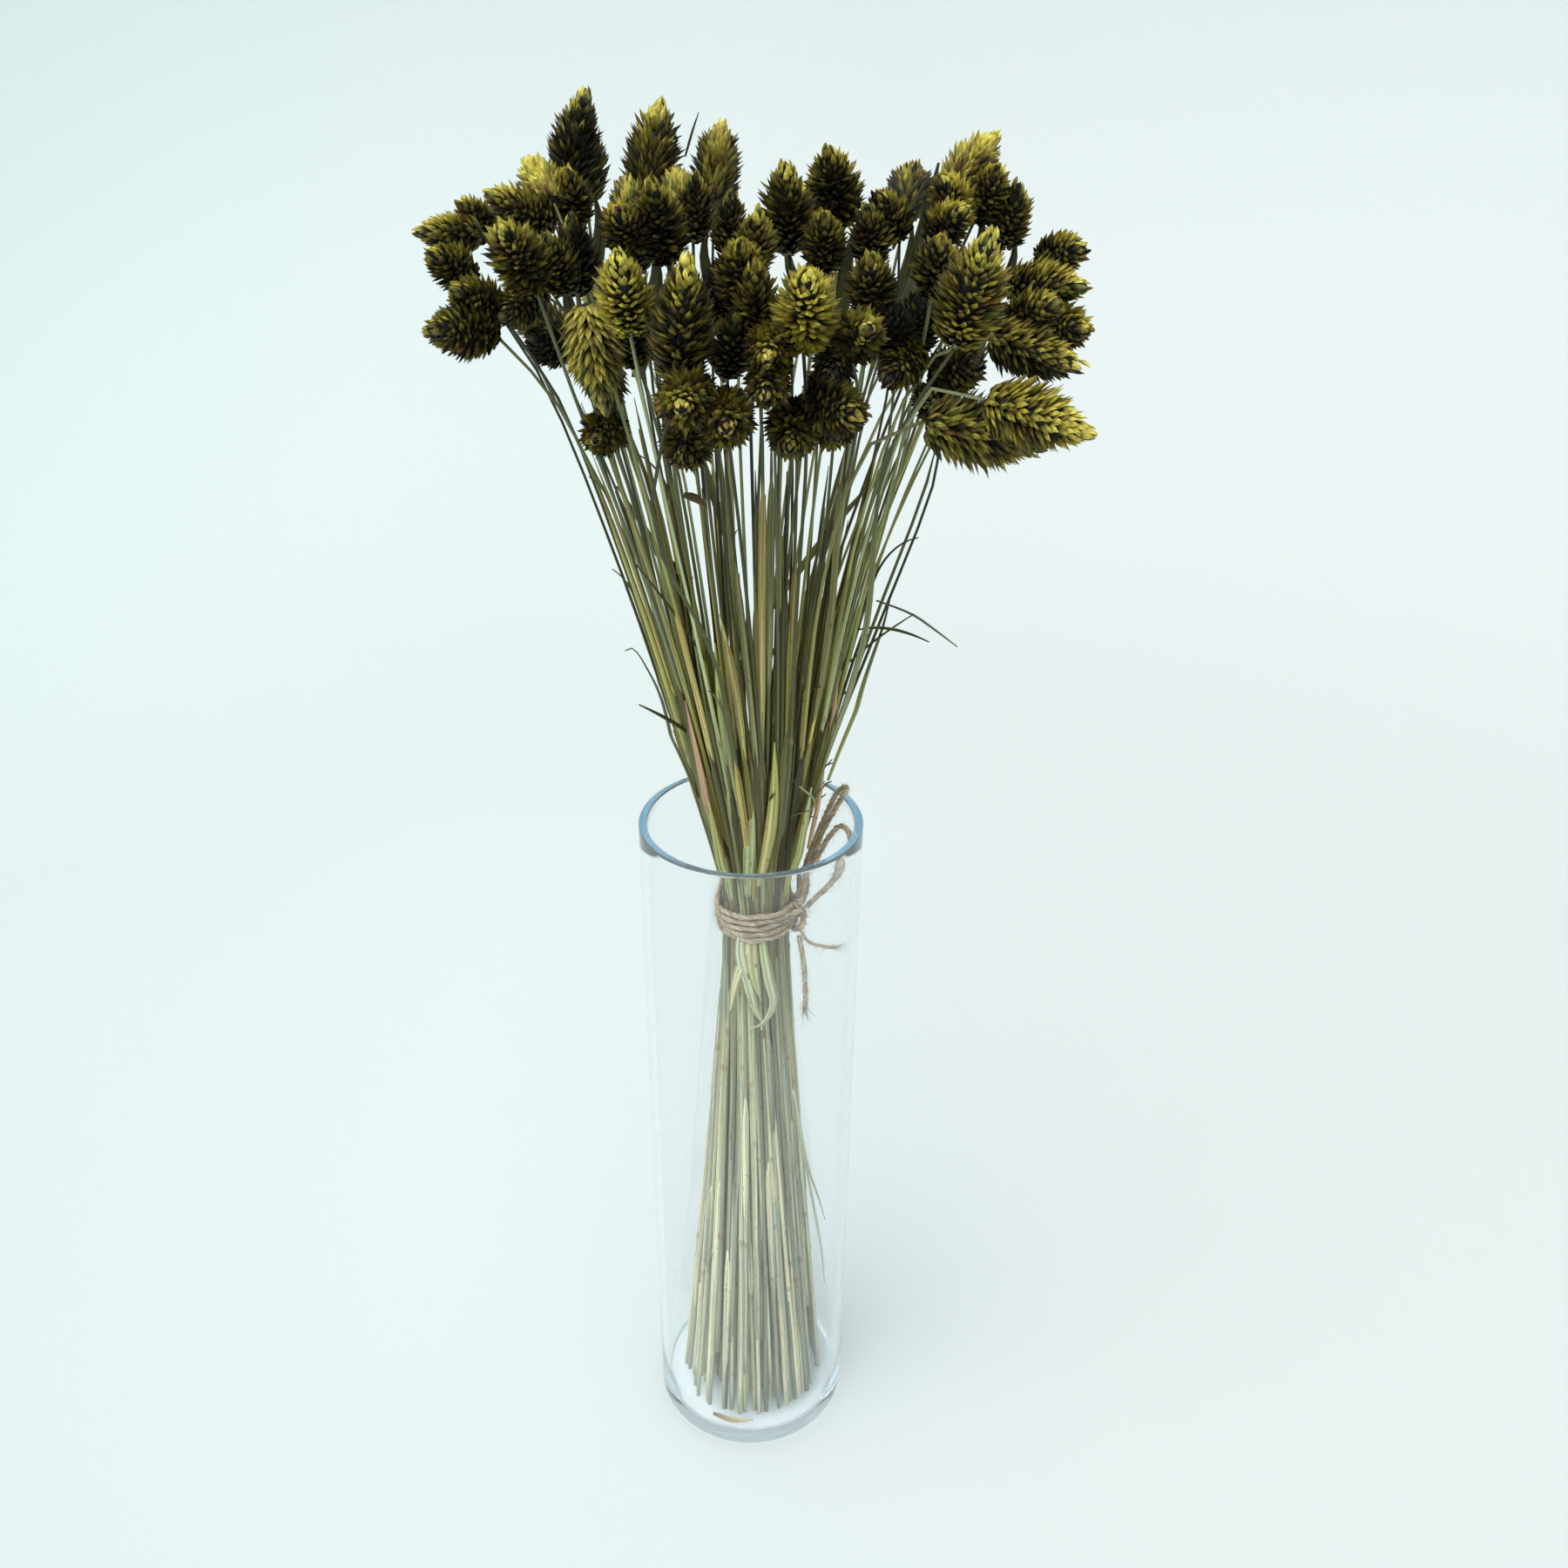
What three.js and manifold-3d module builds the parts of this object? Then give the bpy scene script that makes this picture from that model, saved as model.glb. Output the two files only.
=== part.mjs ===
// Vase of dried canary grass: a clear glass cylinder, a sheaf of stems tied with twine at its waist,
// and the crown of seed heads that the stems carry. Millimetres, +Z up, origin at the centre of the vase's
// underside. The front is -Y.
import * as THREE from "three";
import { mergeVertices } from "three/addons/utils/BufferGeometryUtils.js";
import Module from "manifold-3d";

const wasm = await Module();
wasm.setup();

// Driving dimensions
const CLEARANCE = 0.3; // between pieces that touch
const VASE = { radius: 49, height: 350, wall: 3.7, base: 9.5, heel: 4, fillet: 3, sides: 36 };
const WAIST = { x: 2.4, z: 304, radius: 15.2 }; // where the twine pulls the stems together
const FLOOR_SPREAD = 41; // outermost stem's outer side at the foot of the sheaf
const STEM = { foot: 1.35, waist: 1.05, neck: 0.75, waistShare: 0.45, sides: 3 };
const TWINE = { radius: 1.3, turns: 5, pitch: 2.75, wrap: 17.5, sides: 6, stepsPerTurn: 12 };
// The knot at the right of the twine: the thickness of its strands and of the stub, and their middle lines as
// [turn from the knot, distance out from the winding, height from the waist]
const KNOT = {
  angle: -0.33,
  strand: 1.5,
  stub: 0.9,
  over: [[0, 0, 6.9], [0, 3.6, 4.8], [0.06, 4.6, 0], [0, 3.6, -4.8], [0, 0, -6.9]],
  across: [[-0.3, 0.8, 4], [-0.05, 4.2, 5], [0.16, 3.6, 1], [0.34, 0.8, -2.5]],
  root: [0, 2.5, -4],
};
const SIDE_TAIL = [[25, -12, 295.4], [31.4, -14, 293.7], [37.5, -16, 294.4]];
const CORD = { sides: 8, step: 7.2 };
const SHEAVES = 9;
const WEDGE = { inner: 2, radius: 15.25, height: 11 };
// The scales of a seed head: how deep the valleys between them lie, where the head is widest, how many rings there
// are on a large and on a small head and how many scales in a ring. The rings fill a span of the head's length from
// a first height, and a scale's tip reaches beyond its ring.
const SCALE = { valley: 0.78, widest: 0.42, large: 5, small: 4, sides: 6, first: 0.05, span: 0.87, reach: 0.6 };
const LARGE_HEAD = 18; // width from which a head in sight has the larger number of rings
// A leaf is widest at the middle of a sine's arch: where the arch is cut at the root and at the tip, as shares
const LEAF = { thickness: 0.7, steps: 5, bend: 0.45, root: 0.22, taper: 0.74, last: 0.94, narrowest: 0.14 };

const COLOUR = {
  glass: { color: 0xdcebee, roughness: 0.05, metalness: 0, transparent: true, opacity: 0.35 },
  twine: { color: 0xb9a184, roughness: 0.95, metalness: 0 },
  stem: { color: 0x9a9c5f, roughness: 0.8, metalness: 0 },
  head: { color: 0x5f5a2c, roughness: 0.85, metalness: 0 },
};

// Where the seed heads stand. Each row is one head: its tip (x, y, z), its base (x, y, z) and its width over
// the scales. The rows of one node are pressed against each other and are fused.
const HEADS = {
  left_far: [
    [-124, -5, 588, -103, 9, 586, 14],
    [-100, 8, 599, -92, 28, 586, 14],
  ],
  left_outer: [
    [-109, -30, 586, -99, -9, 575, 15],
  ],
  left_hanging: [
    [-99, -48, 577, -89, -23, 567, 16],
    [-105, -57, 566, -89, -29, 560, 18],
    [-85, -33, 564, -74, -8, 569, 15],
  ],
  left_back: [
    [-95, 48, 560, -73, 38, 548, 16],
    [-81, 8, 551, -71, 29, 540, 15],
    [-99, 26, 560, -77, 22, 550, 16],
  ],
  left_top: [
    [-89, -20, 604, -69, 0, 592, 16],
    [-82, 23, 613, -70, 3, 600, 15],
    [-64, -6, 609, -66, 15, 588, 16],
  ],
  left_front: [
    [-75, -77, 601, -70, -51, 580, 18],
    [-65, -61, 598, -62, -42, 578, 15],
    [-57, -35, 596, -58, -22, 570, 16],
  ],
  left_tall: [
    [-61, 25, 636, -69, 25, 604, 18],
    [-58, 42, 619, -62, 42, 594, 14],
  ],
  rear_left: [
    [-72, 77, 562, -56, 57, 550, 16],
    [-60, 87, 546, -46, 67, 536, 16],
  ],
  left_drooping: [
    [-53, -52, 526, -50, -23, 524, 16],
    [-48, -37, 533, -51, -27, 555, 14],
  ],
  left_long: [
    [-49, -64, 540, -54, -60, 575, 19],
    [-41, -56, 574, -36, -36, 553, 16],
  ],
  left_inner: [
    [-41, -23, 601, -41, -10, 577, 15],
  ],
  left_spire: [
    [-32, 32, 635, -38, 17, 602, 20],
    [-29, 29, 609, -26, 8, 595, 14],
    [-47, 25, 603, -44, 5, 584, 14],
  ],
  front_bright: [
    [-36, -96, 596, -35, -80, 570, 17],
  ],
  front_left_top: [
    [-43, -62, 603, -41, -40, 589, 15],
    [-28, -52, 612, -25, -30, 586, 18],
  ],
  rear_middle: [
    [-38, 95, 562, -30, 73, 548, 17],
    [-18, 99, 560, -14, 77, 546, 16],
  ],
  middle_shaded: [
    [-18, -19, 611, -20, -7, 588, 14],
  ],
  front_bottom: [
    [-18, -89, 531, -20, -59, 536, 17],
  ],
  front_left: [
    [-16, -97, 595, -20, -87, 556, 20],
    [-18, -116, 554, -17, -83, 552, 19],
    [-4, -120, 550, -6, -87, 548, 18],
  ],
  middle_spire: [
    [-12, 42, 624, -14, 23, 597, 18],
  ],
  middle_back: [
    [-7, 3, 603, -9, 16, 581, 14],
  ],
  middle_top: [
    [0, -54, 606, -3, -38, 585, 14],
    [-6, -40, 585, -7, -19, 563, 16],
    [3, -50, 580, 3, -34, 559, 14],
  ],
  middle_front: [
    [-2, -80, 599, -4, -59, 579, 16],
    [8, -87, 594, 8, -73, 570, 14],
    [-4, -79, 573, -8, -64, 551, 15],
  ],
  front_middle: [
    [21, -116, 595, 20, -91, 570, 19],
    [6, -111, 568, 8, -81, 569, 15],
    [7, -113, 556, 8, -87, 558, 14],
  ],
  middle_tall: [
    [12, -25, 615, 14, -12, 585, 19],
  ],
  front_low: [
    [40, -106, 548, 24, -81, 549, 17],
    [12, -105, 540, 14, -74, 546, 17],
  ],
  right_spire: [
    [28, -3, 618, 33, 22, 591, 20],
    [18, 31, 603, 21, 11, 587, 14],
  ],
  middle_right: [
    [25, -48, 602, 26, -28, 583, 15],
  ],
  inner_low: [
    [20, -63, 548, 30, -39, 547, 14],
    [30, -77, 531, 29, -49, 535, 16],
    [29, -75, 557, 32, -50, 563, 14],
  ],
  rear_right: [
    [22, 97, 556, 18, 75, 542, 17],
    [38, 93, 564, 30, 73, 552, 16],
  ],
  front_right: [
    [38, -108, 577, 33, -80, 567, 16],
  ],
  right_crest: [
    [39, -22, 601, 43, -6, 580, 15],
    [44, -14, 606, 54, 2, 590, 15],
  ],
  inner_right: [
    [43, -67, 552, 55, -43, 558, 15],
    [47, -54, 573, 52, -34, 552, 15],
    [41, -73, 595, 43, -52, 574, 16],
  ],
  right_dark: [
    [61, 51, 609, 57, 26, 594, 17],
  ],
  inner_dark: [
    [60, -17, 574, 61, -2, 550, 16],
  ],
  right_front_top: [
    [61, -71, 598, 61, -51, 578, 15],
  ],
  right_shaded: [
    [71, -52, 604, 62, -31, 593, 14],
  ],
  right_under: [
    [78, -61, 560, 66, -37, 548, 17],
    [59, -55, 546, 69, -33, 535, 14],
  ],
  right_bright: [
    [64, -22, 611, 74, -2, 596, 15],
  ],
  right_big: [
    [72, -100, 603, 66, -86, 568, 21],
  ],
  rear_right_outer: [
    [74, 64, 570, 60, 50, 556, 17],
    [88, 54, 560, 74, 38, 550, 17],
  ],
  right_long: [
    [108, -106, 547, 76, -90, 554, 20],
    [98, -81, 534, 58, -75, 540, 23],
  ],
  right_tall: [
    [87, 30, 624, 68, 16, 605, 17],
    [86, -4, 611, 82, 19, 592, 16],
    [98, 5, 606, 96, 19, 583, 15],
  ],
  right_side: [
    [100, -74, 580, 87, -54, 572, 14],
    [107, -78, 558, 79, -64, 565, 18],
  ],
  right_back: [
    [113, 22, 560, 89, 18, 552, 16],
  ],
  right_outer: [
    [114, -41, 582, 90, -22, 579, 17],
    [114, -51, 563, 100, -23, 562, 17],
  ],
  right_far: [
    [118, -11, 587, 106, 11, 581, 15],
  ],
};

// Leaves and dry sheaths: the head whose stem carries the leaf, how far up the free stem its root sits (0 to 1),
// where its tip ends (x, y, z), how far its middle bows out, and its width.
const LEAVES = [
  ["right_crest", 1, 0.82, [66, 4, 613], 2, 7],
  ["right_under", 0, 0.42, [76, -40, 470], 8, 4],
  ["inner_right", 0, 0.5, [68, -44, 452], 6, 4],
  ["left_drooping", 0, 0.34, [-62, -50, 436], 7, 5],
  ["left_long", 1, 0.5, [-46, -62, 497], 4, 6],
  ["rear_right", 1, 0.5, [66, 58, 500], 8, 6],
  ["rear_left", 1, 0.45, [-60, 66, 478], 8, 6],
  ["middle_back", 0, 0.55, [-32, 58, 520], 6, 5],
];

// The free cords of the bow, as points along their middle lines
const BOW = {
  twine_loop_back: [
    [20.2, -2.6, 311.9], [22.8, 0.6, 316.5], [24.5, 7, 323], [28.5, 13, 332], [33.5, 18.4, 342.5],
    [37, 21.5, 349.5], [40.2, 22.6, 353.4], [42.2, 19.8, 355.2], [41.2, 15.4, 354.6], [38, 12.2, 350.4],
    [34, 9.6, 343.5], [30, 6.6, 335], [27, 2.6, 326.5], [25.2, -2.6, 317.5], [22.8, -4.8, 310.7],
  ],
  twine_loop_front: [
    [21.9, -8.2, 311.7], [23.6, -6.4, 317], [26.8, -4.2, 325], [31, -1.2, 335], [35.2, -0.8, 343.2],
    [39.4, -1.8, 347.8], [42.6, -4.8, 346.4], [42.8, -8.4, 341], [40, -12, 334.4], [35.2, -13.6, 327.4],
    [30, -12.8, 320.4], [26.4, -10.2, 314.4], [24.9, -8.6, 310.9],
  ],
  twine_tail: [
    [21.7, -8.9, 295.7], [22.6, -11.6, 291], [23.4, -12.8, 286], [24.1, -13.6, 280], [24.4, -14, 275],
    [24.8, -14.2, 267], [24.6, -14.4, 260],
  ],
};

const Z = new THREE.Vector3(0, 0, 1);
const point = (p) => new THREE.Vector3(...p);
const smooth = (points) => new THREE.CatmullRomCurve3(points, false, "centripetal");

// A repeatable number from 0 to 1 for any index
function chance(index) {
  const s = Math.sin(index * 12.9898 + 4.1414) * 43758.5453;
  return s - Math.floor(s);
}

// A closed geometry as a solid that can be joined
function solid(geometry) {
  const bare = geometry.index ? geometry.toNonIndexed() : geometry.clone();
  bare.deleteAttribute("normal");
  bare.deleteAttribute("uv");
  const merged = mergeVertices(bare, 1e-4);
  const vertProperties = merged.attributes.position.array;
  const triVerts = new Uint32Array(merged.index.array);
  return new wasm.Manifold(new wasm.Mesh({ numProp: 3, vertProperties, triVerts }));
}

// A joined solid back as a flat-shaded geometry
function geometryOf(joined) {
  const mesh = joined.getMesh();
  const geometry = new THREE.BufferGeometry();
  geometry.setAttribute("position", new THREE.BufferAttribute(mesh.vertProperties, 3));
  geometry.setIndex(new THREE.BufferAttribute(mesh.triVerts, 1));
  const flat = geometry.toNonIndexed();
  flat.computeVertexNormals();
  return flat;
}

// Joins closed geometries into one body. A sealed sliver of a hollow between them is filled.
function fuse(geometries) {
  const joined = geometries.map(solid).reduce((a, b) => a.add(b));
  return geometryOf(joined.decompose().reduce((a, b) => (a.volume() > b.volume() ? a : b)));
}

function fromTriangles(vertices, faces) {
  const geometry = new THREE.BufferGeometry();
  geometry.setAttribute("position", new THREE.Float32BufferAttribute(vertices.flatMap((v) => v.toArray()), 3));
  geometry.setIndex(faces.flat());
  return geometry;
}

// A tapered rod or blade through the points. section(share) gives the section's corners as [across, out], and the
// rings in level lie flat, so that they meet a flat face all round.
function sweep(points, section, outward, level = []) {
  const vertices = [];
  const faces = [];
  const last = points.length - 1;
  let across = null;
  points.forEach((p, i) => {
    const ahead = points[Math.min(i + 1, last)].clone().sub(points[Math.max(i - 1, 0)]).normalize();
    if (!across) across = new THREE.Vector3().crossVectors(ahead, outward).normalize();
    across.sub(ahead.clone().multiplyScalar(across.dot(ahead))).normalize();
    const out = new THREE.Vector3().crossVectors(ahead, across);
    for (const [a, b] of section(i / last)) {
      const corner = p.clone().addScaledVector(across, a).addScaledVector(out, b);
      if (level.includes(i)) corner.z = p.z;
      vertices.push(corner);
    }
  });
  const n = section(0).length;
  for (let i = 0; i < last; i++) {
    for (let k = 0; k < n; k++) {
      const a = i * n + k;
      const b = i * n + ((k + 1) % n);
      faces.push([a, b, b + n], [a, b + n, a + n]);
    }
  }
  for (let k = 1; k < n - 1; k++) {
    faces.push([0, k + 1, k], [last * n, last * n + k, last * n + k + 1]);
  }
  return fromTriangles(vertices, faces);
}

function polygon(radius, sides) {
  const corner = (k) => {
    const turn = (2 * Math.PI * k) / sides;
    return [radius * Math.cos(turn), radius * Math.sin(turn)];
  };
  return Array.from({ length: sides }, (_, k) => corner(k));
}

// The vase: one revolved wall with a thick base, a rounded heel, a fillet inside and a rounded lip
function vaseGeometry() {
  const { radius, height, wall, base, heel, fillet, sides } = VASE;
  const inner = radius - wall;
  const lip = wall / 2;
  const profile = [[0, 0], [radius - heel, 0]];
  const arc = (cx, cz, r, from, to, steps) => {
    for (let k = 1; k <= steps; k++) {
      const a = from + ((to - from) * k) / steps;
      profile.push([cx + r * Math.cos(a), cz + r * Math.sin(a)]);
    }
  };
  arc(radius - heel, heel, heel, -Math.PI / 2, 0, 3);
  profile.push([radius, height - lip]);
  arc(radius - lip, height - lip, lip, 0, Math.PI, 4);
  profile.push([inner, base + fillet]);
  arc(inner - fillet, base + fillet, fillet, 0, -Math.PI / 2, 2);
  profile.push([0, base]);
  const outline = profile.map(([r, z]) => new THREE.Vector2(r, z));
  return new THREE.LatheGeometry(outline, sides).rotateX(Math.PI / 2);
}

// How wide a seed head is at a height from 0, its base, to 1, its tip, as a share of its widest
function headShape(t) {
  const w = SCALE.widest;
  if (t < w) return Math.sqrt(Math.max(0, 1 - ((w - t) / w) ** 2));
  return Math.cos((((t - w) / (1 - w)) * Math.PI) / 2) ** 0.8;
}

// A seed head: rings of valleys, staggered, with a pointed scale raised over each diamond between them
function headGeometry(head, rows, turn) {
  const { centre, axis, length, width } = head;
  const side = new THREE.Vector3().crossVectors(axis, Math.abs(axis.z) < 0.9 ? Z : new THREE.Vector3(1, 0, 0));
  side.normalize();
  const across = new THREE.Vector3().crossVectors(axis, side);
  const n = SCALE.sides;
  const at = (t, share, column) => {
    const a = turn + (2 * Math.PI * column) / n;
    const r = (width / 2) * share;
    const p = centre.clone().addScaledVector(axis, (t - 0.5) * length);
    return p.addScaledVector(side, r * Math.cos(a)).addScaledVector(across, r * Math.sin(a));
  };
  const height = (k) => SCALE.first + (SCALE.span * k) / rows;
  const vertices = [];
  const faces = [];
  const ring = [];
  for (let k = 0; k <= rows; k++) {
    ring.push(Array.from({ length: n }, (_, i) => {
      vertices.push(at(height(k), SCALE.valley * headShape(height(k)), i + (k % 2) / 2));
      return vertices.length - 1;
    }));
  }
  for (let k = 0; k < rows - 1; k++) {
    const tip = height(k + 1 + SCALE.reach);
    for (let i = 0; i < n; i++) {
      const left = ring[k + 1][k % 2 ? i : (i + n - 1) % n];
      const right = ring[k + 1][k % 2 ? (i + 1) % n : i];
      const low = ring[k][i];
      const high = ring[k + 2][i];
      const scale = vertices.push(at(tip, headShape(height(k + 1)), i + (k % 2) / 2)) - 1;
      faces.push([low, right, scale], [right, high, scale], [high, left, scale], [left, low, scale]);
    }
  }
  const foot = vertices.push(at(0, 0, 0)) - 1;
  const apex = vertices.push(at(1, 0, 0)) - 1;
  for (let i = 0; i < n; i++) {
    const next = (i + 1) % n;
    const under = ring[rows - 1][rows % 2 ? next : i];
    faces.push([foot, ring[0][next], ring[0][i]], [ring[0][i], ring[0][next], ring[1][i]]);
    faces.push([apex, ring[rows][i], ring[rows][next]], [ring[rows][next], ring[rows][i], under]);
  }
  return fromTriangles(vertices, faces);
}

// Balls that stand for a head when it is kept clear of its neighbours
const BALLS = [0.16, 0.36, 0.58, 0.8];
const ballsOf = (head) => BALLS.map((t) => ({
  at: head.centre.clone().addScaledVector(head.axis, (t - 0.5) * head.length),
  radius: (head.width / 2) * headShape(t),
}));

// Heads as read from the list
const heads = Object.entries(HEADS).flatMap(([node, rows]) => rows.map((row) => {
  const tip = point(row.slice(0, 3));
  const base = point(row.slice(3, 6));
  const axis = tip.clone().sub(base);
  const length = axis.length();
  const home = tip.add(base).multiplyScalar(0.5);
  return { node, home, centre: home.clone(), axis: axis.divideScalar(length), length, width: row[6] };
}));

// How much room two heads have between them, and the line from one to the other where it is least
function roomBetween(ballsA, ballsB) {
  let room = Infinity;
  let line = null;
  for (const a of ballsA) {
    for (const b of ballsB) {
      const d = a.at.distanceTo(b.at) - a.radius - b.radius;
      if (d >= room) continue;
      room = d;
      line = b.at.clone().sub(a.at).normalize();
    }
  }
  return { room, line };
}

// Each head of a node is pressed against the nearest of those listed before it
heads.forEach((head, i) => {
  const room = (other) => roomBetween(ballsOf(other), ballsOf(head)).room;
  const earlier = heads.slice(0, i).filter((other) => other.node === head.node);
  head.partner = earlier.sort((a, b) => room(a) - room(b))[0];
});

// Settles the heads: those of one node bite into each other, all others keep clear. They give way mostly along
// the line of sight from the front and above, so that the crown keeps its outline.
const SETTLE = {
  rounds: 160,
  near: 60, // heads further apart than this are not compared
  clear: 0.9, // between heads of two nodes
  bite: 4.9, // how far heads of one node sink into each other
  play: 1.4, // in the bite
  give: 0.4, // the share of a clash that is put right in one round
  home: 0.012, // the share of the way back to its listed place
  sight: (28 * Math.PI) / 180, // how far the line of sight looks down
  inPlane: 0.45, // the share of a push that is kept across the line of sight
  neck: 2, // room for the stem under a head, at the distances below its centre as shares of its length
  necks: [0.58, 0.85],
  neckGive: 0.5,
};

function settleHeads() {
  const sight = new THREE.Vector3(0, Math.cos(SETTLE.sight), -Math.sin(SETTLE.sight));
  for (let round = 0; round < SETTLE.rounds; round++) {
    const balls = heads.map(ballsOf);
    const moves = heads.map((h) => h.home.clone().sub(h.centre).multiplyScalar(SETTLE.home));
    const shift = (i, j, line, amount) => {
      const step = line.clone().multiplyScalar(amount);
      const along = sight.clone().multiplyScalar(step.dot(sight));
      step.sub(along).multiplyScalar(SETTLE.inPlane).add(along);
      moves[i].add(step);
      moves[j].sub(step);
    };
    for (let i = 0; i < heads.length; i++) {
      for (let j = i + 1; j < heads.length; j++) {
        if (heads[i].centre.distanceTo(heads[j].centre) > SETTLE.near) continue;
        const { room, line } = roomBetween(balls[i], balls[j]);
        let push = 0;
        if (heads[i].node === heads[j].node) {
          if (heads[j].partner === heads[i]) push = Math.max(0, room + SETTLE.bite - SETTLE.play / 2);
          if (room < -SETTLE.bite - SETTLE.play / 2) push = room + SETTLE.bite + SETTLE.play / 2;
        } else if (room < SETTLE.clear) {
          push = room - SETTLE.clear;
        }
        if (push !== 0) shift(i, j, line, push * SETTLE.give);
        for (const [bearer, other] of [[i, j], [j, i]]) {
          for (const below of SETTLE.necks) {
            const neck = heads[bearer].centre.clone();
            neck.addScaledVector(heads[bearer].axis, -below * heads[bearer].length);
            for (const ball of balls[other]) {
              const way = ball.at.clone().sub(neck);
              const gap = way.length() - ball.radius - SETTLE.neck;
              if (gap < 0) shift(bearer, other, way.normalize(), gap * SETTLE.neckGive);
            }
          }
        }
      }
    }
    heads.forEach((h, i) => h.centre.add(moves[i]));
  }
}

// The stems: each head has its own. It passes the waist in a slot of its sheaf and stands on the vase's floor.
const SLOTS = [
  { radius: 13.6, count: 4 }, { radius: 10.9, count: 3 }, { radius: 8.4, count: 2 },
  { radius: 6.4, count: 1 }, { radius: 4.2, count: 1 },
];
const SLOT_PITCH = 2.25;
const WAIST_RINGS = [1, 2]; // the points of a stem at the lower and the upper end of the waist
const SPIRAL = 0.42; // how far the foot of the sheaf is turned against its waist, radians
// How the stems part below the waist: the power of their flare, its share and that share's play, and the play in
// their turn, radians
const FLARE = { power: 1.2, share: 0.93, play: 0.09, turn: 0.05 };
// How a stem bends above the waist, as shares of its length there: the reach of its start and of its end, and how
// far the outermost leans out over the first of them
const BEND = { start: 0.3, arrive: 0.17, lean: 0.22 };
// Where a stem's sections lie, from the waist, 0, to the head, 1. A stem that arches over has one more.
const NECK_STEPS = [0.25, 0.5, 0.75, 1];
const ARCH_STEPS = [0.28, 0.56, 0.8, 0.92, 1];
const ARCH_BELOW = 0.15;
// Keeping the stems clear: the rounds, the room to a head and to a stem, the share of a clash that is put right in
// one round and the share of the way back
const DODGE = { rounds: 160, head: 0.9, stem: 0.8, give: 0.35, home: 0.006 };

const turned = (angle, radius, z) => new THREE.Vector3(
  WAIST.x + radius * Math.cos(angle), radius * Math.sin(angle), z,
);

// A stem's middle line below the waist, at a height above the vase's floor
function footPoint(height, radius, angle, index) {
  const floor = VASE.base + CLEARANCE;
  const down = 1 - height / (WAIST.z - WEDGE.height / 2 - floor);
  const flare = down ** FLARE.power * (FLARE.share + FLARE.play * chance(index));
  const spread = 1 + (FLOOR_SPREAD / WAIST.radius - 1) * flare;
  const turn = down * (SPIRAL + FLARE.turn * (chance(index + 500) - 0.5));
  const p = turned(angle + turn, radius * spread, 0);
  p.x -= WAIST.x * down;
  p.z = floor + height;
  return p;
}

function planStems() {
  const base = (h) => h.centre.clone().addScaledVector(h.axis, -h.length / 2 - CLEARANCE);
  const angleOf = (p) => Math.atan2(p.y, p.x - WAIST.x);
  const stems = heads.map((head, index) => ({ head, index, end: base(head) }));
  stems.sort((a, b) => angleOf(a.end) - angleOf(b.end));
  for (let sheaf = 0; sheaf < SHEAVES; sheaf++) {
    const first = Math.round((sheaf * stems.length) / SHEAVES);
    const past = Math.round(((sheaf + 1) * stems.length) / SHEAVES);
    const members = stems.slice(first, past);
    const reach = (s) => Math.hypot(s.end.x - WAIST.x, s.end.y);
    const outerFirst = [...members].sort((a, b) => reach(b) - reach(a));
    const middle = (2 * Math.PI * (sheaf + 0.5)) / SHEAVES - Math.PI;
    for (const slot of SLOTS) {
      const row = outerFirst.splice(0, slot.count).sort((a, b) => angleOf(a.end) - angleOf(b.end));
      row.forEach((stem, k) => {
        const angle = middle + ((k - (row.length - 1) / 2) * SLOT_PITCH) / slot.radius;
        stem.sheaf = sheaf;
        const top = WAIST.z - WEDGE.height / 2 - VASE.base - CLEARANCE;
        stem.points = [0, top].map((height) => footPoint(height, slot.radius, angle, stem.index));
        const start = turned(angle, slot.radius, WAIST.z + WEDGE.height / 2);
        const reachUp = stem.end.distanceTo(start);
        const up = BEND.start * reachUp;
        const lean = BEND.lean * (slot.radius / SLOTS[0].radius) * up;
        const rise = start.clone().add(new THREE.Vector3(lean * Math.cos(angle), lean * Math.sin(angle), up));
        const arrive = stem.end.clone().addScaledVector(stem.head.axis, -BEND.arrive * reachUp);
        const curve = new THREE.CubicBezierCurve3(start, rise, arrive, stem.end);
        const steps = stem.head.axis.z < ARCH_BELOW ? ARCH_STEPS : NECK_STEPS;
        stem.points.push(start, ...steps.map((t) => curve.getPoint(t)));
        stem.home = stem.points.map((p) => p.clone());
      });
    }
  }
  return stems;
}

// The nearest points of two straight pieces, as shares along each
function nearest(a0, a1, b0, b1) {
  const u = a1.clone().sub(a0);
  const v = b1.clone().sub(b0);
  const w = a0.clone().sub(b0);
  const [uu, uv, vv, uw, vw] = [u.dot(u), u.dot(v), v.dot(v), u.dot(w), v.dot(w)];
  const flat = uu * vv - uv * uv;
  const clamp = (x) => Math.min(1, Math.max(0, x));
  let s = flat > 1e-9 ? clamp((uv * vw - vv * uw) / flat) : 0.5;
  const t = clamp((uv * s + vw) / vv);
  s = clamp((uv * t - uw) / uu);
  return [s, t];
}

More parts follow.
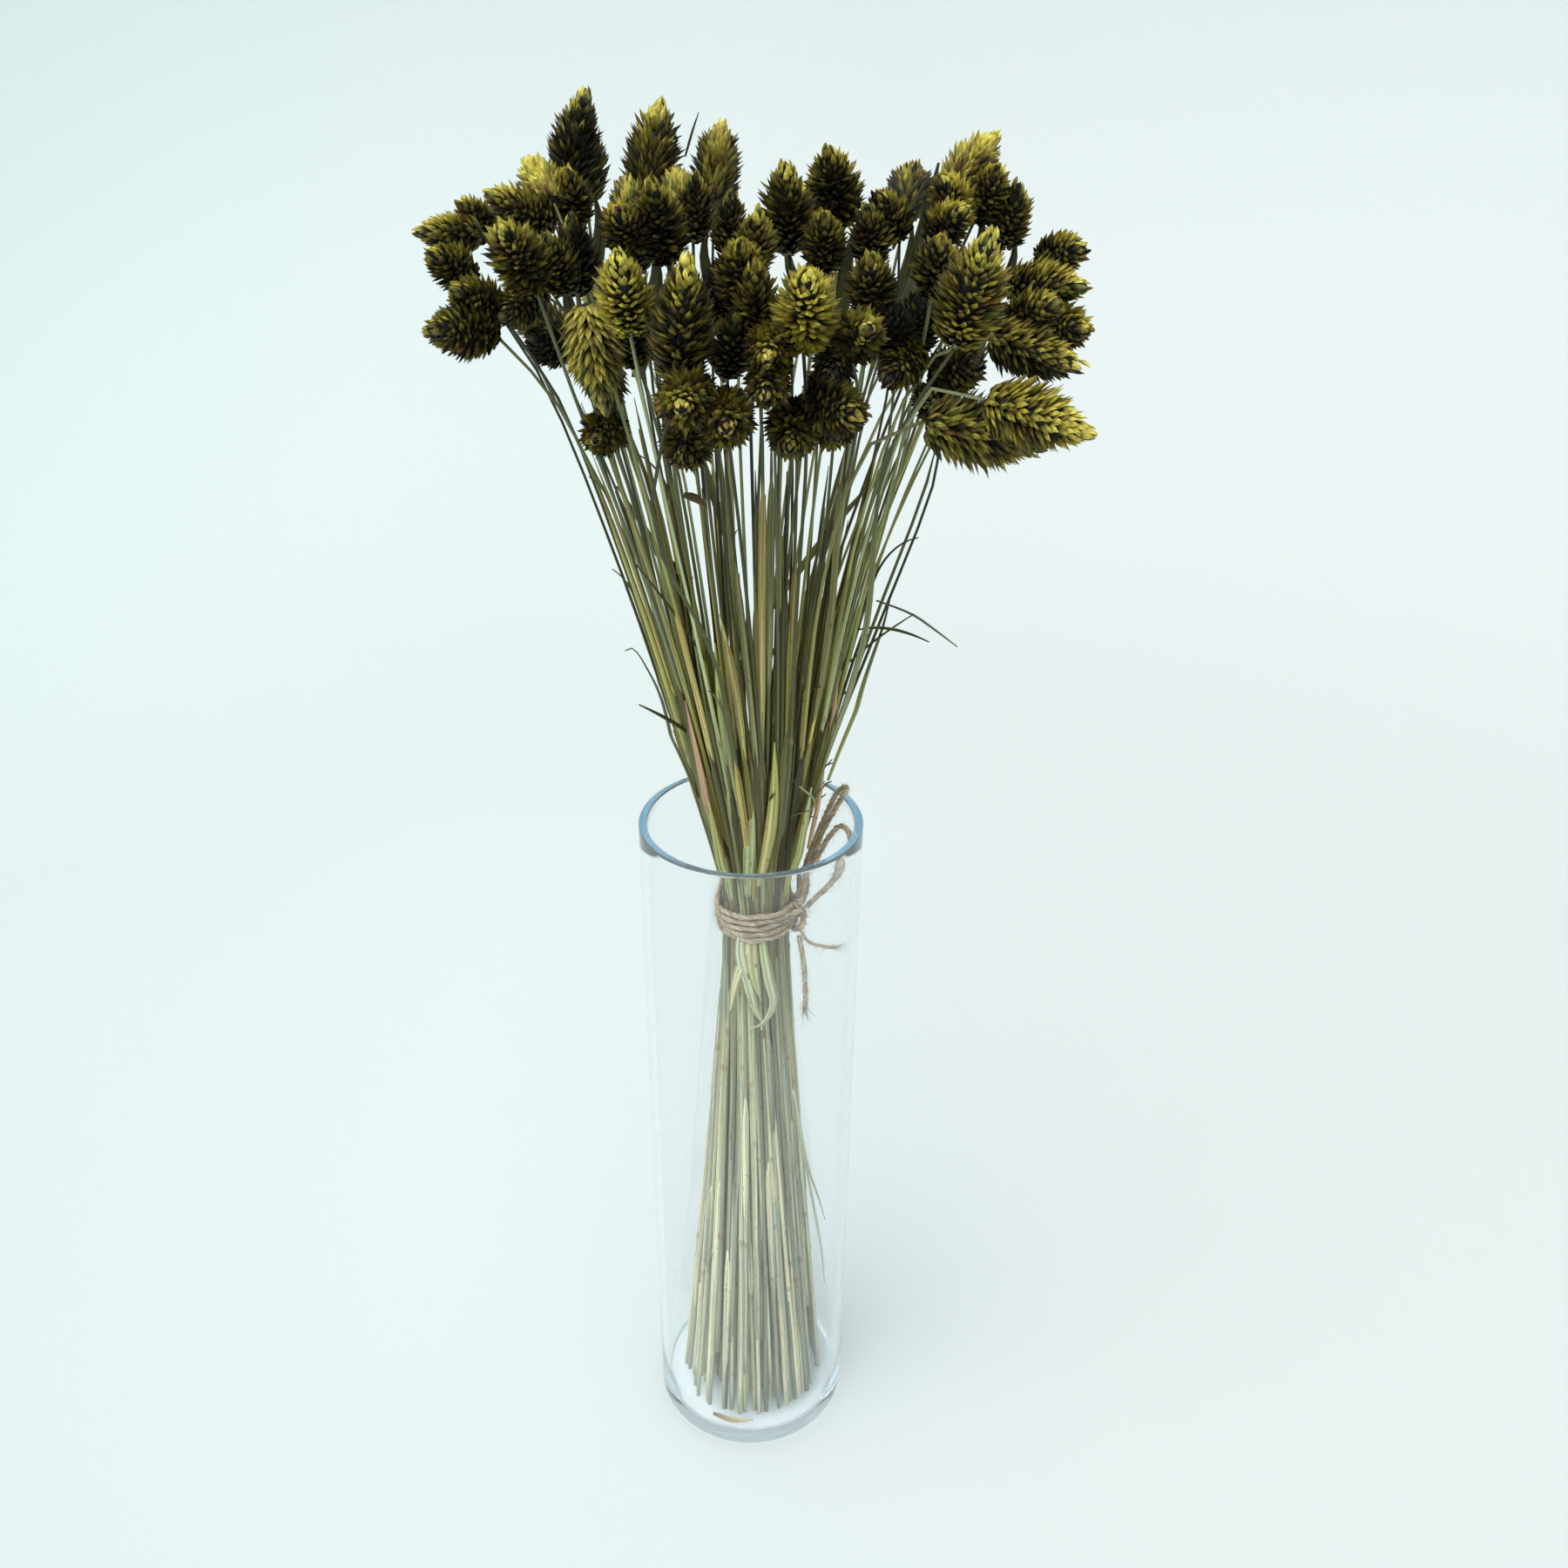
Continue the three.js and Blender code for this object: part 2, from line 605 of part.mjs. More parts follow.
// Bends the stems clear of the heads that they pass and of the stems in the other sheaves
function dodge(stems) {
  const balls = heads.flatMap((head) => ballsOf(head).map((ball) => ({ ...ball, head })));
  const firstFree = WAIST_RINGS[1];
  const toHead = STEM.neck + DODGE.head;
  const toStem = 2 * STEM.waist + DODGE.stem;
  for (let round = 0; round < DODGE.rounds; round++) {
    const moves = stems.map((stem) => stem.points.map(() => new THREE.Vector3()));
    const push = (which, i, share, step) => {
      moves[which][i].addScaledVector(step, 1 - share);
      moves[which][i + 1].addScaledVector(step, share);
    };
    stems.forEach((stem, which) => {
      for (let i = firstFree; i < stem.points.length - 1; i++) {
        const [from, to] = [stem.points[i], stem.points[i + 1]];
        for (const ball of balls) {
          if (ball.head === stem.head && i === stem.points.length - 2) continue;
          const along = to.clone().sub(from);
          const share = Math.min(1, Math.max(0, ball.at.clone().sub(from).dot(along) / along.lengthSq()));
          const away = from.clone().lerp(to, share).sub(ball.at);
          const depth = ball.radius + toHead - away.length();
          if (depth > 0) push(which, i, share, away.normalize().multiplyScalar(depth * DODGE.give));
        }
        for (let other = which + 1; other < stems.length; other++) {
          if (stems[other].sheaf === stem.sheaf) continue;
          for (let k = firstFree; k < stems[other].points.length - 1; k++) {
            const [low, high] = [stems[other].points[k], stems[other].points[k + 1]];
            const [s, t] = nearest(from, to, low, high);
            const away = from.clone().lerp(to, s).sub(low.clone().lerp(high, t));
            const depth = toStem - away.length();
            if (depth <= 0) continue;
            away.normalize().multiplyScalar(depth * DODGE.give);
            push(which, i, s, away);
            push(other, k, t, away.negate());
          }
        }
      }
    });
    stems.forEach((stem, which) => {
      for (let i = firstFree + 1; i < stem.points.length - 1; i++) {
        const back = stem.home[i].clone().sub(stem.points[i]).multiplyScalar(DODGE.home);
        stem.points[i].add(moves[which][i]).add(back);
      }
    });
  }
}

// A stem's radius at a share of its sections, thinner from its foot to the waist and from there to its head
function stemRadius(share) {
  const { foot, waist, neck, waistShare } = STEM;
  if (share < waistShare) return foot + ((waist - foot) * share) / waistShare;
  return waist + ((neck - waist) * (share - waistShare)) / (1 - waistShare);
}

function stemGeometry(stem) {
  const outward = new THREE.Vector3(Math.cos(stem.index), Math.sin(stem.index), 0);
  return sweep(stem.points, (share) => polygon(stemRadius(share), STEM.sides), outward, WAIST_RINGS);
}

// The heart of a sheaf, hidden under the twine: a wedge that all its stems are pressed into
function wedgeGeometry(sheaf) {
  const half = Math.PI / SHEAVES;
  const inset = CLEARANCE / 2 / Math.cos(half);
  const rim = [-1, -0.33, 0.33, 1].map((side) => [
    WEDGE.radius * Math.cos(side * half),
    WEDGE.radius * Math.sin(side * half) - (Math.abs(side) === 1 ? side * inset : 0),
  ]);
  const tip = WEDGE.inner * Math.tan(half) - inset;
  const corners = [[WEDGE.inner, tip], [WEDGE.inner, -tip], ...rim];
  const outline = new THREE.Shape(corners.map(([x, y]) => new THREE.Vector2(x, y)));
  const geometry = new THREE.ExtrudeGeometry(outline, { depth: WEDGE.height, bevelEnabled: false });
  geometry.rotateZ((2 * Math.PI * (sheaf + 0.5)) / SHEAVES - Math.PI);
  return geometry.translate(WAIST.x, 0, WAIST.z - WEDGE.height / 2);
}

// A leaf: a thin blade whose root is sunk in its stem and whose middle bows up
function leafGeometry(stem, [, , along, tip, bow, width]) {
  const neck = smooth(stem.points.slice(WAIST_RINGS[1]));
  const root = neck.getPoint(along);
  const end = point(tip);
  const middle = root.clone().lerp(end, LEAF.bend).add(new THREE.Vector3(0, 0, bow));
  const curve = new THREE.QuadraticBezierCurve3(root, middle, end);
  const arch = (share) => Math.sin(Math.PI * Math.min(LEAF.last, LEAF.root + LEAF.taper * share));
  const half = (share) => (width / 2) * Math.max(LEAF.narrowest, arch(share));
  const thick = LEAF.thickness / 2;
  const section = (share) => [
    [-half(share), -thick], [half(share), -thick], [half(share), thick], [-half(share), thick],
  ];
  return sweep(curve.getPoints(LEAF.steps), section, new THREE.Vector3(0.2, -0.3, 1));
}

// Twine: a helix round the waist, a knot at its right and the stub of a tail
class Winding extends THREE.Curve {
  getPoint(t, target = new THREE.Vector3()) {
    const angle = KNOT.angle + 2 * Math.PI * TWINE.turns * t;
    const rise = (t - 0.5) * TWINE.turns * TWINE.pitch;
    return target.copy(turned(angle, TWINE.wrap, WAIST.z + rise));
  }
}

function rod(curve, radius, sides, steps) {
  const outline = new THREE.Shape(polygon(radius, sides).map(([x, y]) => new THREE.Vector2(x, y)));
  return new THREE.ExtrudeGeometry(outline, { steps, bevelEnabled: false, extrudePath: curve });
}

function bindingGeometry() {
  const { radius, sides, turns, stepsPerTurn, wrap } = TWINE;
  const onKnot = ([turn, out, rise]) => turned(KNOT.angle + turn, wrap + out, WAIST.z + rise);
  const over = smooth(KNOT.over.map(onKnot));
  const across = smooth(KNOT.across.map(onKnot));
  const stub = smooth([onKnot(KNOT.root), ...SIDE_TAIL.map(point)]);
  return fuse([
    rod(new Winding(), radius, sides, turns * stepsPerTurn),
    rod(over, KNOT.strand, sides, 7),
    rod(across, KNOT.strand, sides, 5),
    rod(stub, KNOT.stub, sides, 6),
  ]);
}

function cordGeometry(points) {
  const curve = smooth(points.map(point));
  return rod(curve, TWINE.radius, CORD.sides, Math.round(curve.getLength() / CORD.step));
}

// Assembly
const vase = new THREE.Group();
const addPiece = (name, geometry, finish) => {
  const mesh = new THREE.Mesh(geometry, new THREE.MeshStandardMaterial(finish));
  mesh.name = name;
  vase.add(mesh);
};

settleHeads();
const stems = planStems();
dodge(stems);

addPiece("vase", vaseGeometry(), COLOUR.glass);
addPiece("twine_binding", bindingGeometry(), COLOUR.twine);
for (const [name, points] of Object.entries(BOW)) addPiece(name, cordGeometry(points), COLOUR.twine);

for (let sheaf = 0; sheaf < SHEAVES; sheaf++) {
  const members = stems.filter((s) => s.sheaf === sheaf);
  const blades = LEAVES.flatMap((leaf) => {
    const bearer = heads.filter((h) => h.node === leaf[0])[leaf[1]];
    const stem = members.find((s) => s.head === bearer);
    return stem ? [leafGeometry(stem, leaf)] : [];
  });
  const pieces = [wedgeGeometry(sheaf), ...members.map(stemGeometry), ...blades];
  addPiece(`stems_${sheaf + 1}`, fuse(pieces), COLOUR.stem);
}

for (const node of Object.keys(HEADS)) {
  const members = heads.filter((h) => h.node === node);
  const hidden = node.startsWith("rear") || node.startsWith("inner");
  const shapes = members.map((h) => {
    const rows = hidden || h.width < LARGE_HEAD ? SCALE.small : SCALE.large;
    return headGeometry(h, rows, 2 * Math.PI * chance(heads.indexOf(h) + 40));
  });
  addPiece(`heads_${node}`, fuse(shapes), COLOUR.head);
}

export default vase;
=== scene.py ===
# %% [markdown]
# # A vase of dried canary grass
# The object is a clear glass cylinder that holds a sheaf of dried canary grass, tied with jute twine at its
# waist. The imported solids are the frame: they say where each head, stem and turn of the twine is. The
# pieces made here take the places of those solids and give them the detail that the solids leave out.

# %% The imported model
import math
from functools import lru_cache

import bmesh
import bpy
import numpy as np
from mathutils import Matrix, Vector


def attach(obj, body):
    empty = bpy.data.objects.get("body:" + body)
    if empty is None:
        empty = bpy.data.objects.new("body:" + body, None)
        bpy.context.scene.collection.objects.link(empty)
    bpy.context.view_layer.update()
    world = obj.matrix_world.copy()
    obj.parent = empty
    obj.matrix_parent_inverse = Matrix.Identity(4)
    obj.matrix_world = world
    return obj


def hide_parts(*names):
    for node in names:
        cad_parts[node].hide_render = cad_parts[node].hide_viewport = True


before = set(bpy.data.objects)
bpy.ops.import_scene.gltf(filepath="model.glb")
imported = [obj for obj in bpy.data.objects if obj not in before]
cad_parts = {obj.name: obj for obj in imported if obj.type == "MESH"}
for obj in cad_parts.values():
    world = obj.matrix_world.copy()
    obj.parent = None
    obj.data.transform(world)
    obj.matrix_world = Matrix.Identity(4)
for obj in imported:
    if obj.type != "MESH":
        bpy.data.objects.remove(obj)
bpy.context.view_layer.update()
MM = 0.001
BODY = "root"

# %% [markdown]
# ## The camera
# The photo looks down on the crown from about a metre away, so the vase narrows towards its foot. A camera
# can be fitted by eye, but here its place follows from the rim and the base line: how flat the rim's
# ellipse is gives the tilt, and how much smaller the base looks than the rim gives the distance.

# %% Camera
CAMERA = {"place": (0.0142, -0.5337, 0.6531), "pitch": 28.176, "roll": -0.659, "lens": 32.26}


def camera_matrix(place, pitch, roll):
    down, turn = math.radians(pitch), math.radians(roll)
    ahead = Vector((0, math.cos(down), -math.sin(down)))
    right = Vector((1, 0, 0))
    below = ahead.cross(right)
    across = right * math.cos(turn) + below * math.sin(turn)
    up = right * math.sin(turn) - below * math.cos(turn)
    matrix = Matrix((across, up, -ahead)).transposed().to_4x4()
    matrix.translation = place
    return matrix


camera = bpy.data.objects.new("camera", bpy.data.cameras.new("camera"))
camera.data.lens = CAMERA["lens"]
camera.data.sensor_width = 36
camera.matrix_world = camera_matrix(CAMERA["place"], CAMERA["pitch"], CAMERA["roll"])
bpy.context.scene.collection.objects.link(camera)
bpy.context.scene.camera = camera
print("camera at", CAMERA["place"], "m, tilted down by", CAMERA["pitch"], "degrees")

# %% [markdown]
# ## Rods that follow a line
# Stems, leaves, the plies of the twine and its stray fibres are all one shape: a rod that follows a line. A
# curve with a bevel would give round ones only. So one straight rod is made with bmesh operators, a cone
# with equal ends whose sides are cut into rings, and its rings are then set along any line with any
# section. A heap gathers many such rods, with their paint, and becomes one mesh.

# %% A piece


def placed(name, mesh, replaces=None):
    """A new object for a mesh. It rides on the one body, and may take the place of a solid."""
    piece = bpy.data.objects.new(name, mesh)
    bpy.context.scene.collection.objects.link(piece)
    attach(piece, BODY)
    if replaces:
        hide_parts(replaces)
    mesh.calc_loop_triangles()
    print(name, len(mesh.loop_triangles), "triangles")
    return piece


# %% Templates and heaps


class Template:
    """A small mesh whose copies are bent and gathered: its corners, and its faces as plain arrays."""

    def __init__(self, bm):
        bmesh.ops.recalc_face_normals(bm, faces=bm.faces)
        mesh = bpy.data.meshes.new("template")
        bm.to_mesh(mesh)
        bm.free()
        self.corners = np.empty(3 * len(mesh.vertices))
        mesh.vertices.foreach_get("co", self.corners)
        self.corners = self.corners.reshape(-1, 3)
        self.loops = np.empty(len(mesh.loops), dtype=int)
        mesh.loops.foreach_get("vertex_index", self.loops)
        self.starts = np.empty(len(mesh.polygons), dtype=int)
        mesh.polygons.foreach_get("loop_start", self.starts)
        bpy.data.meshes.remove(mesh)


class Heap:
    """Copies of templates, gathered into one mesh with a paint and a grain for each corner."""

    def __init__(self):
        self.parts = {"corners": [], "paint": [], "grain": [], "loops": [], "starts": []}
        self.size = {"corners": 0, "loops": 0}

    def add(self, template, corners, paint, grain):
        count = len(corners)
        self.parts["corners"].append(corners)
        self.parts["paint"].append(np.broadcast_to(paint, (count, 3)))
        self.parts["grain"].append(grain)
        self.parts["loops"].append(template.loops + self.size["corners"])
        self.parts["starts"].append(template.starts + self.size["loops"])
        self.size["corners"] += count
        self.size["loops"] += len(template.loops)

    def piece(self, name, material, slot, replaces=None, smooth=True):
        """The heap as an object of its own, whose corners are given in millimetres."""
        whole = {key: np.concatenate(value) for key, value in self.parts.items()}
        mesh = bpy.data.meshes.new(name)
        mesh.vertices.add(len(whole["corners"]))
        mesh.vertices.foreach_set("co", (whole["corners"] * MM).ravel())
        mesh.loops.add(len(whole["loops"]))
        mesh.loops.foreach_set("vertex_index", whole["loops"])
        mesh.polygons.add(len(whole["starts"]))
        mesh.polygons.foreach_set("loop_start", whole["starts"])
        mesh.update(calc_edges=True)
        paint = np.hstack([whole["paint"], np.ones((len(whole["paint"]), 1))])
        mesh.attributes.new("paint", "FLOAT_COLOR", "POINT").data.foreach_set("color", paint.ravel())
        mesh.attributes.new("grain", "FLOAT_VECTOR", "POINT").data.foreach_set("vector", whole["grain"].ravel())
        if smooth:
            mesh.shade_smooth()
        else:
            mesh.shade_flat()
        mesh.materials.append(material)
        return placed(name, mesh, replaces)


# %% A straight rod


@lru_cache(maxsize=None)
def rod(sides, rings):
    """A straight rod of radius 1, with the ring and the side that each of its corners belongs to."""
    bm = bmesh.new()
    bmesh.ops.create_cone(bm, cap_ends=True, segments=sides, radius1=1, radius2=1, depth=1)
    upright = [e for e in bm.edges if abs(e.verts[0].co.z - e.verts[1].co.z) > 0.5]
    bmesh.ops.subdivide_edges(bm, edges=upright, cuts=rings - 2, use_grid_fill=True)
    template = Template(bm)
    x, y, z = template.corners.T
    template.ring = np.rint((z + 0.5) * (rings - 1)).astype(int)
    turn = np.arctan2(y, x)
    template.side = np.rint((turn - turn.min()) * sides / (2 * math.pi)).astype(int) % sides
    return template


print("a rod of 8 sides and 12 rings has", len(rod(8, 12).starts), "faces")

# %% Rods along a line


def unit(v):
    return v / np.maximum(np.linalg.norm(v, axis=-1, keepdims=True), 1e-12)


def carried(line, out):
    """Two directions across a line at each of its points, carried along it without a twist."""
    ahead = unit(np.gradient(line, axis=0))
    first = np.empty_like(line)
    side = np.asarray(out, float)
    for i, way in enumerate(ahead):
        side = unit(side - way * (side @ way))
        first[i] = side
    return first, np.cross(ahead, first)


def bent_rod(line, sections, out):
    """A rod along the line: its template and its corners' places. sections holds each ring's corners."""
    rings, sides = sections.shape[:2]
    template = rod(sides, rings)
    first, second = carried(line, out)
    places = line[:, None] + sections[..., :1] * first[:, None] + sections[..., 1:] * second[:, None]
    return template, places[template.ring, template.side]


def rounds(radii, sides):
    """Round sections of the given radii."""
    turn = 2 * math.pi * np.arange(sides) / sides
    return np.asarray(radii)[:, None, None] * np.stack([np.cos(turn), np.sin(turn)], 1)[None]


def lengths(line):
    """How far along the line each of its points is."""
    return np.concatenate([[0], np.cumsum(np.linalg.norm(np.diff(line, axis=0), axis=1))])


def at_lengths(line, places):
    """The points of a line that are so far along it."""
    far = lengths(line)
    return np.stack([np.interp(places, far, line[:, k]) for k in range(3)], 1)


def grain_of(template, line, sides, start=0.0):
    """Coordinates for a pattern that follows a rod: round it, and along it in centimetres."""
    turn = 2 * math.pi * template.side / sides
    return np.stack([np.cos(turn), np.sin(turn), start + lengths(line)[template.ring] / 10], 1)


# %% Smooth lines
SAMPLES = 24


def even(line, step):
    """The same line with its points at even steps."""
    total = lengths(line)[-1]
    return at_lengths(line, np.linspace(0, total, max(3, round(total / step) + 1)))


def smooth_line(points, step):
    """A line through the points, a centripetal Catmull-Rom spline, sampled at about even steps."""
    p = np.asarray(points, float)
    p = np.vstack([2 * p[0] - p[1], p, 2 * p[-1] - p[-2]])
    fine = []
    for a, b, c, d in zip(p, p[1:], p[2:], p[3:]):
        ta, tb, tc = (np.linalg.norm(q - r) ** 0.5 for q, r in ((b, a), (c, b), (d, c)))
        leave = ((b - a) / ta - (c - a) / (ta + tb) + (c - b) / tb) * tb
        enter = ((c - b) / tb - (d - b) / (tb + tc) + (d - c) / tc) * tb
        t = np.linspace(0, 1, SAMPLES, endpoint=False)[:, None]
        fine.append(b + leave * t + (3 * (c - b) - 2 * leave - enter) * t ** 2
                    + (2 * (b - c) + leave + enter) * t ** 3)
    return even(np.vstack([*fine, p[-2:-1]]), step)


# %% Paint and chance


def chance(index):
    """A repeatable number from 0 to 1 for any index: the ragged digits of a sine."""
    s = math.sin(index * 12.9898 + 4.1414) * 43758.5453
    return s - math.floor(s)


def pick(choices):
    """One of the choices, drawn from the piece's own seeded row of random numbers."""
    return choices[int(rng.integers(len(choices)))]


def paint(red, green, blue):
    """A colour as the eye reads it, from 0 to 255, in the linear values that the shaders use."""
    return np.array([((c / 255 + 0.055) / 1.055) ** 2.4 for c in (red, green, blue)])


# %% [markdown]
# ## Materials
# The plant and the twine are dry, matt and streaked along their length. An image would need unwrapping, so
# their colour comes from the paint on each corner, and the streaks from noise that is stretched along the
# grain: two attributes that travel with each piece. The glass is the plain shader with a slight blue in its
# depth, because only its thick edges show a colour, and a faint sheen for the pale veil that its wall has.

# %% A new material


def new_material(name):
    material = bpy.data.materials.new(name)
    material.use_nodes = True
    tree = material.node_tree
    shader = tree.nodes["Principled BSDF"]
    return material, tree, shader


# %% Nodes
# The colour sockets of a Mix node go by number, because their names stand for other sockets too.
MIX_FIRST, MIX_SECOND, MIX_RESULT = 6, 7, 2


def node(tree, kind, **values):
    """A new node. A value that names one of its sockets goes there, and any other sets the node itself."""
    made = tree.nodes.new(kind)
    for key, value in values.items():
        if hasattr(made, key) and key not in made.inputs:
            setattr(made, key, value)
        else:
            made.inputs[key].default_value = value
    return made


def set_sockets(shader, values):
    for socket, value in values.items():
        shader.inputs[socket].default_value = value


def link(tree, source, out, target, into):
    tree.links.new(source.outputs[out], target.inputs[into])


# %% Noise, colours by value and the painted material


def grain_noise(tree, scale, detail=3.0, roughness=0.55):
    """Noise on the grain of a piece: scale gives its fineness round the piece and along it."""
    grain = node(tree, "ShaderNodeAttribute", attribute_name="grain")
    stretch = node(tree, "ShaderNodeMapping", Scale=scale)
    noise = node(tree, "ShaderNodeTexNoise", Scale=1.0, Detail=detail, Roughness=roughness)
    link(tree, grain, "Vector", stretch, "Vector")
    link(tree, stretch, "Vector", noise, "Vector")
    return noise


def ramp(tree, source, out, stops):
    """Turns a value into a colour by a few stops."""
    made = node(tree, "ShaderNodeValToRGB")
    band = made.color_ramp
    while len(band.elements) < len(stops):
        band.elements.new(0.5)
    for element, (place, colour) in zip(band.elements, stops):
        element.position = place
        element.color = (*colour, 1)
    link(tree, source, out, made, "Fac")
    return made


def multiplied(tree, first, out_first, second, out_second):
    mix = node(tree, "ShaderNodeMix", data_type="RGBA", blend_type="MULTIPLY")
    mix.inputs["Factor"].default_value = 1.0
    link(tree, first, out_first, mix, MIX_FIRST)
    link(tree, second, out_second, mix, MIX_SECOND)
    return mix


def painted(name, streaks, streak_colours, specks, roughness, bump):
    """A matt plant material: the paint, streaked along the grain, with darker specks and a fine relief."""
    material, tree, shader = new_material(name)
    colour = node(tree, "ShaderNodeAttribute", attribute_name="paint")
    fine = grain_noise(tree, streaks)
    streak = ramp(tree, fine, "Fac", streak_colours)
    first = multiplied(tree, colour, "Color", streak, "Color")
    spots = grain_noise(tree, specks["scale"], detail=2.0)
    spot = ramp(tree, spots, "Fac", specks["stops"])
    second = multiplied(tree, first, MIX_RESULT, spot, "Color")
    link(tree, second, MIX_RESULT, shader, "Base Color")
    strength, depth = bump
    relief = node(tree, "ShaderNodeBump", Strength=strength, Distance=depth)
    link(tree, fine, "Fac", relief, "Height")
    link(tree, relief, "Normal", shader, "Normal")
    set_sockets(shader, {"Roughness": roughness})
    return material


# %% Twine, stalks and husks
jute = painted(
    "jute", streaks=(2.2, 2.2, 3.0),
    streak_colours=[(0.3, (0.55, 0.5, 0.46)), (0.5, (0.92, 0.9, 0.88)), (0.72, (1.25, 1.2, 1.12))],
    specks={"scale": (1.2, 1.2, 9.0), "stops": [(0.3, (0.72, 0.68, 0.64)), (0.55, (1, 1, 1))]},
    roughness=0.92, bump=(0.7, 0.0004),
)
stalk = painted(
    "dry_stalk", streaks=(3.4, 3.4, 0.12),
    streak_colours=[(0.34, (0.32, 0.33, 0.26)), (0.48, (0.95, 0.95, 0.9)), (0.64, (1.6, 1.6, 1.5))],
    specks={"scale": (2.4, 2.4, 2.6), "stops": [(0.27, (0.4, 0.33, 0.24)), (0.36, (1, 1, 1))]},
    roughness=0.52, bump=(0.5, 0.0003),
)
husk = painted(
    "seed_husk", streaks=(2.6, 2.6, 1.2),
    streak_colours=[(0.3, (0.62, 0.6, 0.55)), (0.52, (1, 1, 0.98)), (0.74, (1.3, 1.28, 1.15))],
    specks={"scale": (1.0, 1.0, 3.0), "stops": [(0.3, (0.7, 0.66, 0.6)), (0.5, (1, 1, 1))]},
    roughness=0.6, bump=(0.4, 0.0002),
)

# %% Glass
GLASS = {
    "Base Color": (0.99, 0.997, 1, 1), "Roughness": 0.0, "IOR": 1.48, "Transmission Weight": 0.985,
    "Sheen Weight": 0.12, "Sheen Roughness": 0.25, "Sheen Tint": (0.42, 0.68, 1, 1),
}
GLASS_DEPTH = {"Color": (0.1, 0.62, 0.86, 1), "Density": 2.3}
GLASS_SHADOW = (0.985, 0.99, 1, 1)


def clear_glass():
    """Glass that colours what passes through its depth, and that lets the light through to what it shades."""
    material, tree, shader = new_material("clear_glass")
    set_sockets(shader, GLASS)
    output = tree.nodes["Material Output"]
    depth = node(tree, "ShaderNodeVolumeAbsorption", **GLASS_DEPTH)
    link(tree, depth, "Volume", output, "Volume")
    path = node(tree, "ShaderNodeLightPath")
    through = node(tree, "ShaderNodeBsdfTransparent", Color=GLASS_SHADOW)
    either = node(tree, "ShaderNodeMixShader")
    link(tree, path, "Is Shadow Ray", either, 0)
    link(tree, shader, "BSDF", either, 1)
    link(tree, through, "BSDF", either, 2)
    link(tree, either, "Shader", output, "Surface")
    return material


glass = clear_glass()
print("materials:", [m.name for m in (jute, stalk, husk, glass)])

# %% [markdown]
# ## The twine
# The twine is three plies of jute laid round each other. A smooth tube would read as a wire, so each ply is
# a thin rod that winds round the cord's middle line, and stray fibres stand off it. The two loops of the
# bow and the long tail are free, and each one's length is printed. Their lines are those of the solids.

# %% The lines of the free cords
TWINE = {"diameter": 2.6, "ply": 0.7, "lay": 0.56, "pitch": 9.0, "step": 0.8, "sides": 6}
ASIDE = (0.3, 0.2, 1)
BOW = {
    "twine_loop_back": [
        (20.2, -2.6, 311.9), (22.8, 0.6, 316.5), (24.5, 7, 323), (28.5, 13, 332), (33.5, 18.4, 342.5),
        (37, 21.5, 349.5), (40.2, 22.6, 353.4), (42.2, 19.8, 355.2), (41.2, 15.4, 354.6), (38, 12.2, 350.4),
        (34, 9.6, 343.5), (30, 6.6, 335), (27, 2.6, 326.5), (25.2, -2.6, 317.5), (22.8, -4.8, 310.7),
    ],
    "twine_loop_front": [
        (21.9, -8.2, 311.7), (23.6, -6.4, 317), (26.8, -4.2, 325), (31, -1.2, 335), (35.2, -0.8, 343.2),
        (39.4, -1.8, 347.8), (42.6, -4.8, 346.4), (42.8, -8.4, 341), (40, -12, 334.4), (35.2, -13.6, 327.4),
        (30, -12.8, 320.4), (26.4, -10.2, 314.4), (24.9, -8.6, 310.9),
    ],
    "twine_tail": [
        (21.7, -8.9, 295.7), (22.6, -11.6, 291), (23.4, -12.8, 286), (24.1, -13.6, 280), (24.4, -14, 275),
        (24.8, -14.2, 267), (24.6, -14.4, 260),
    ],
}
BOW_LINES = {name: smooth_line(points, TWINE["step"]) for name, points in BOW.items()}
for name, line in BOW_LINES.items():
    print(name, "is", round(float(lengths(line)[-1]), 1), "mm long")

# %% Plies
JUTE_PAINT = [paint(230, 213, 186), paint(212, 195, 168), paint(242, 228, 204)]


def lay_twine(heap, line, thickness=1.0):
    """Three plies wound round a middle line. Two waves along each ply make it thicker and thinner."""
    first, second = carried(line, ASIDE)
    along = lengths(line)
    for ply, colour in enumerate(JUTE_PAINT):
        turn = 2 * math.pi * (along / TWINE["pitch"] + ply / 3)
        swell = 1 + 0.09 * np.sin(along / 2.3 + ply) + 0.07 * np.sin(along / 0.9 + 2 * ply)
        offset = TWINE["lay"] * thickness * (np.cos(turn)[:, None] * first + np.sin(turn)[:, None] * second)
        strand = line + offset
        template, corners = bent_rod(strand, rounds(TWINE["ply"] * thickness * swell, TWINE["sides"]), first[0])
        heap.add(template, corners, colour, grain_of(template, strand, TWINE["sides"], 7.0 * ply + line[0, 0]))


# %% Stray fibres
FIBRE = {"points": 5, "sides": 3, "point": 0.85, "shades": (0.8, 1.25)}
FUZZ = {
    "per_mm": 4.6, "long": (1.2, 4.0), "radius": (0.05, 0.1), "skin": 1.05, "stand": (0.15, 0.9), "stray": 0.25,
    "curl": 0.35, "lift": 0.2,
}
FRAY = {"radius": (0.09, 0.18), "long": (0.45, 1), "back": 2.5, "across": 0.45, "stray": 0.28, "curl": 0.3}


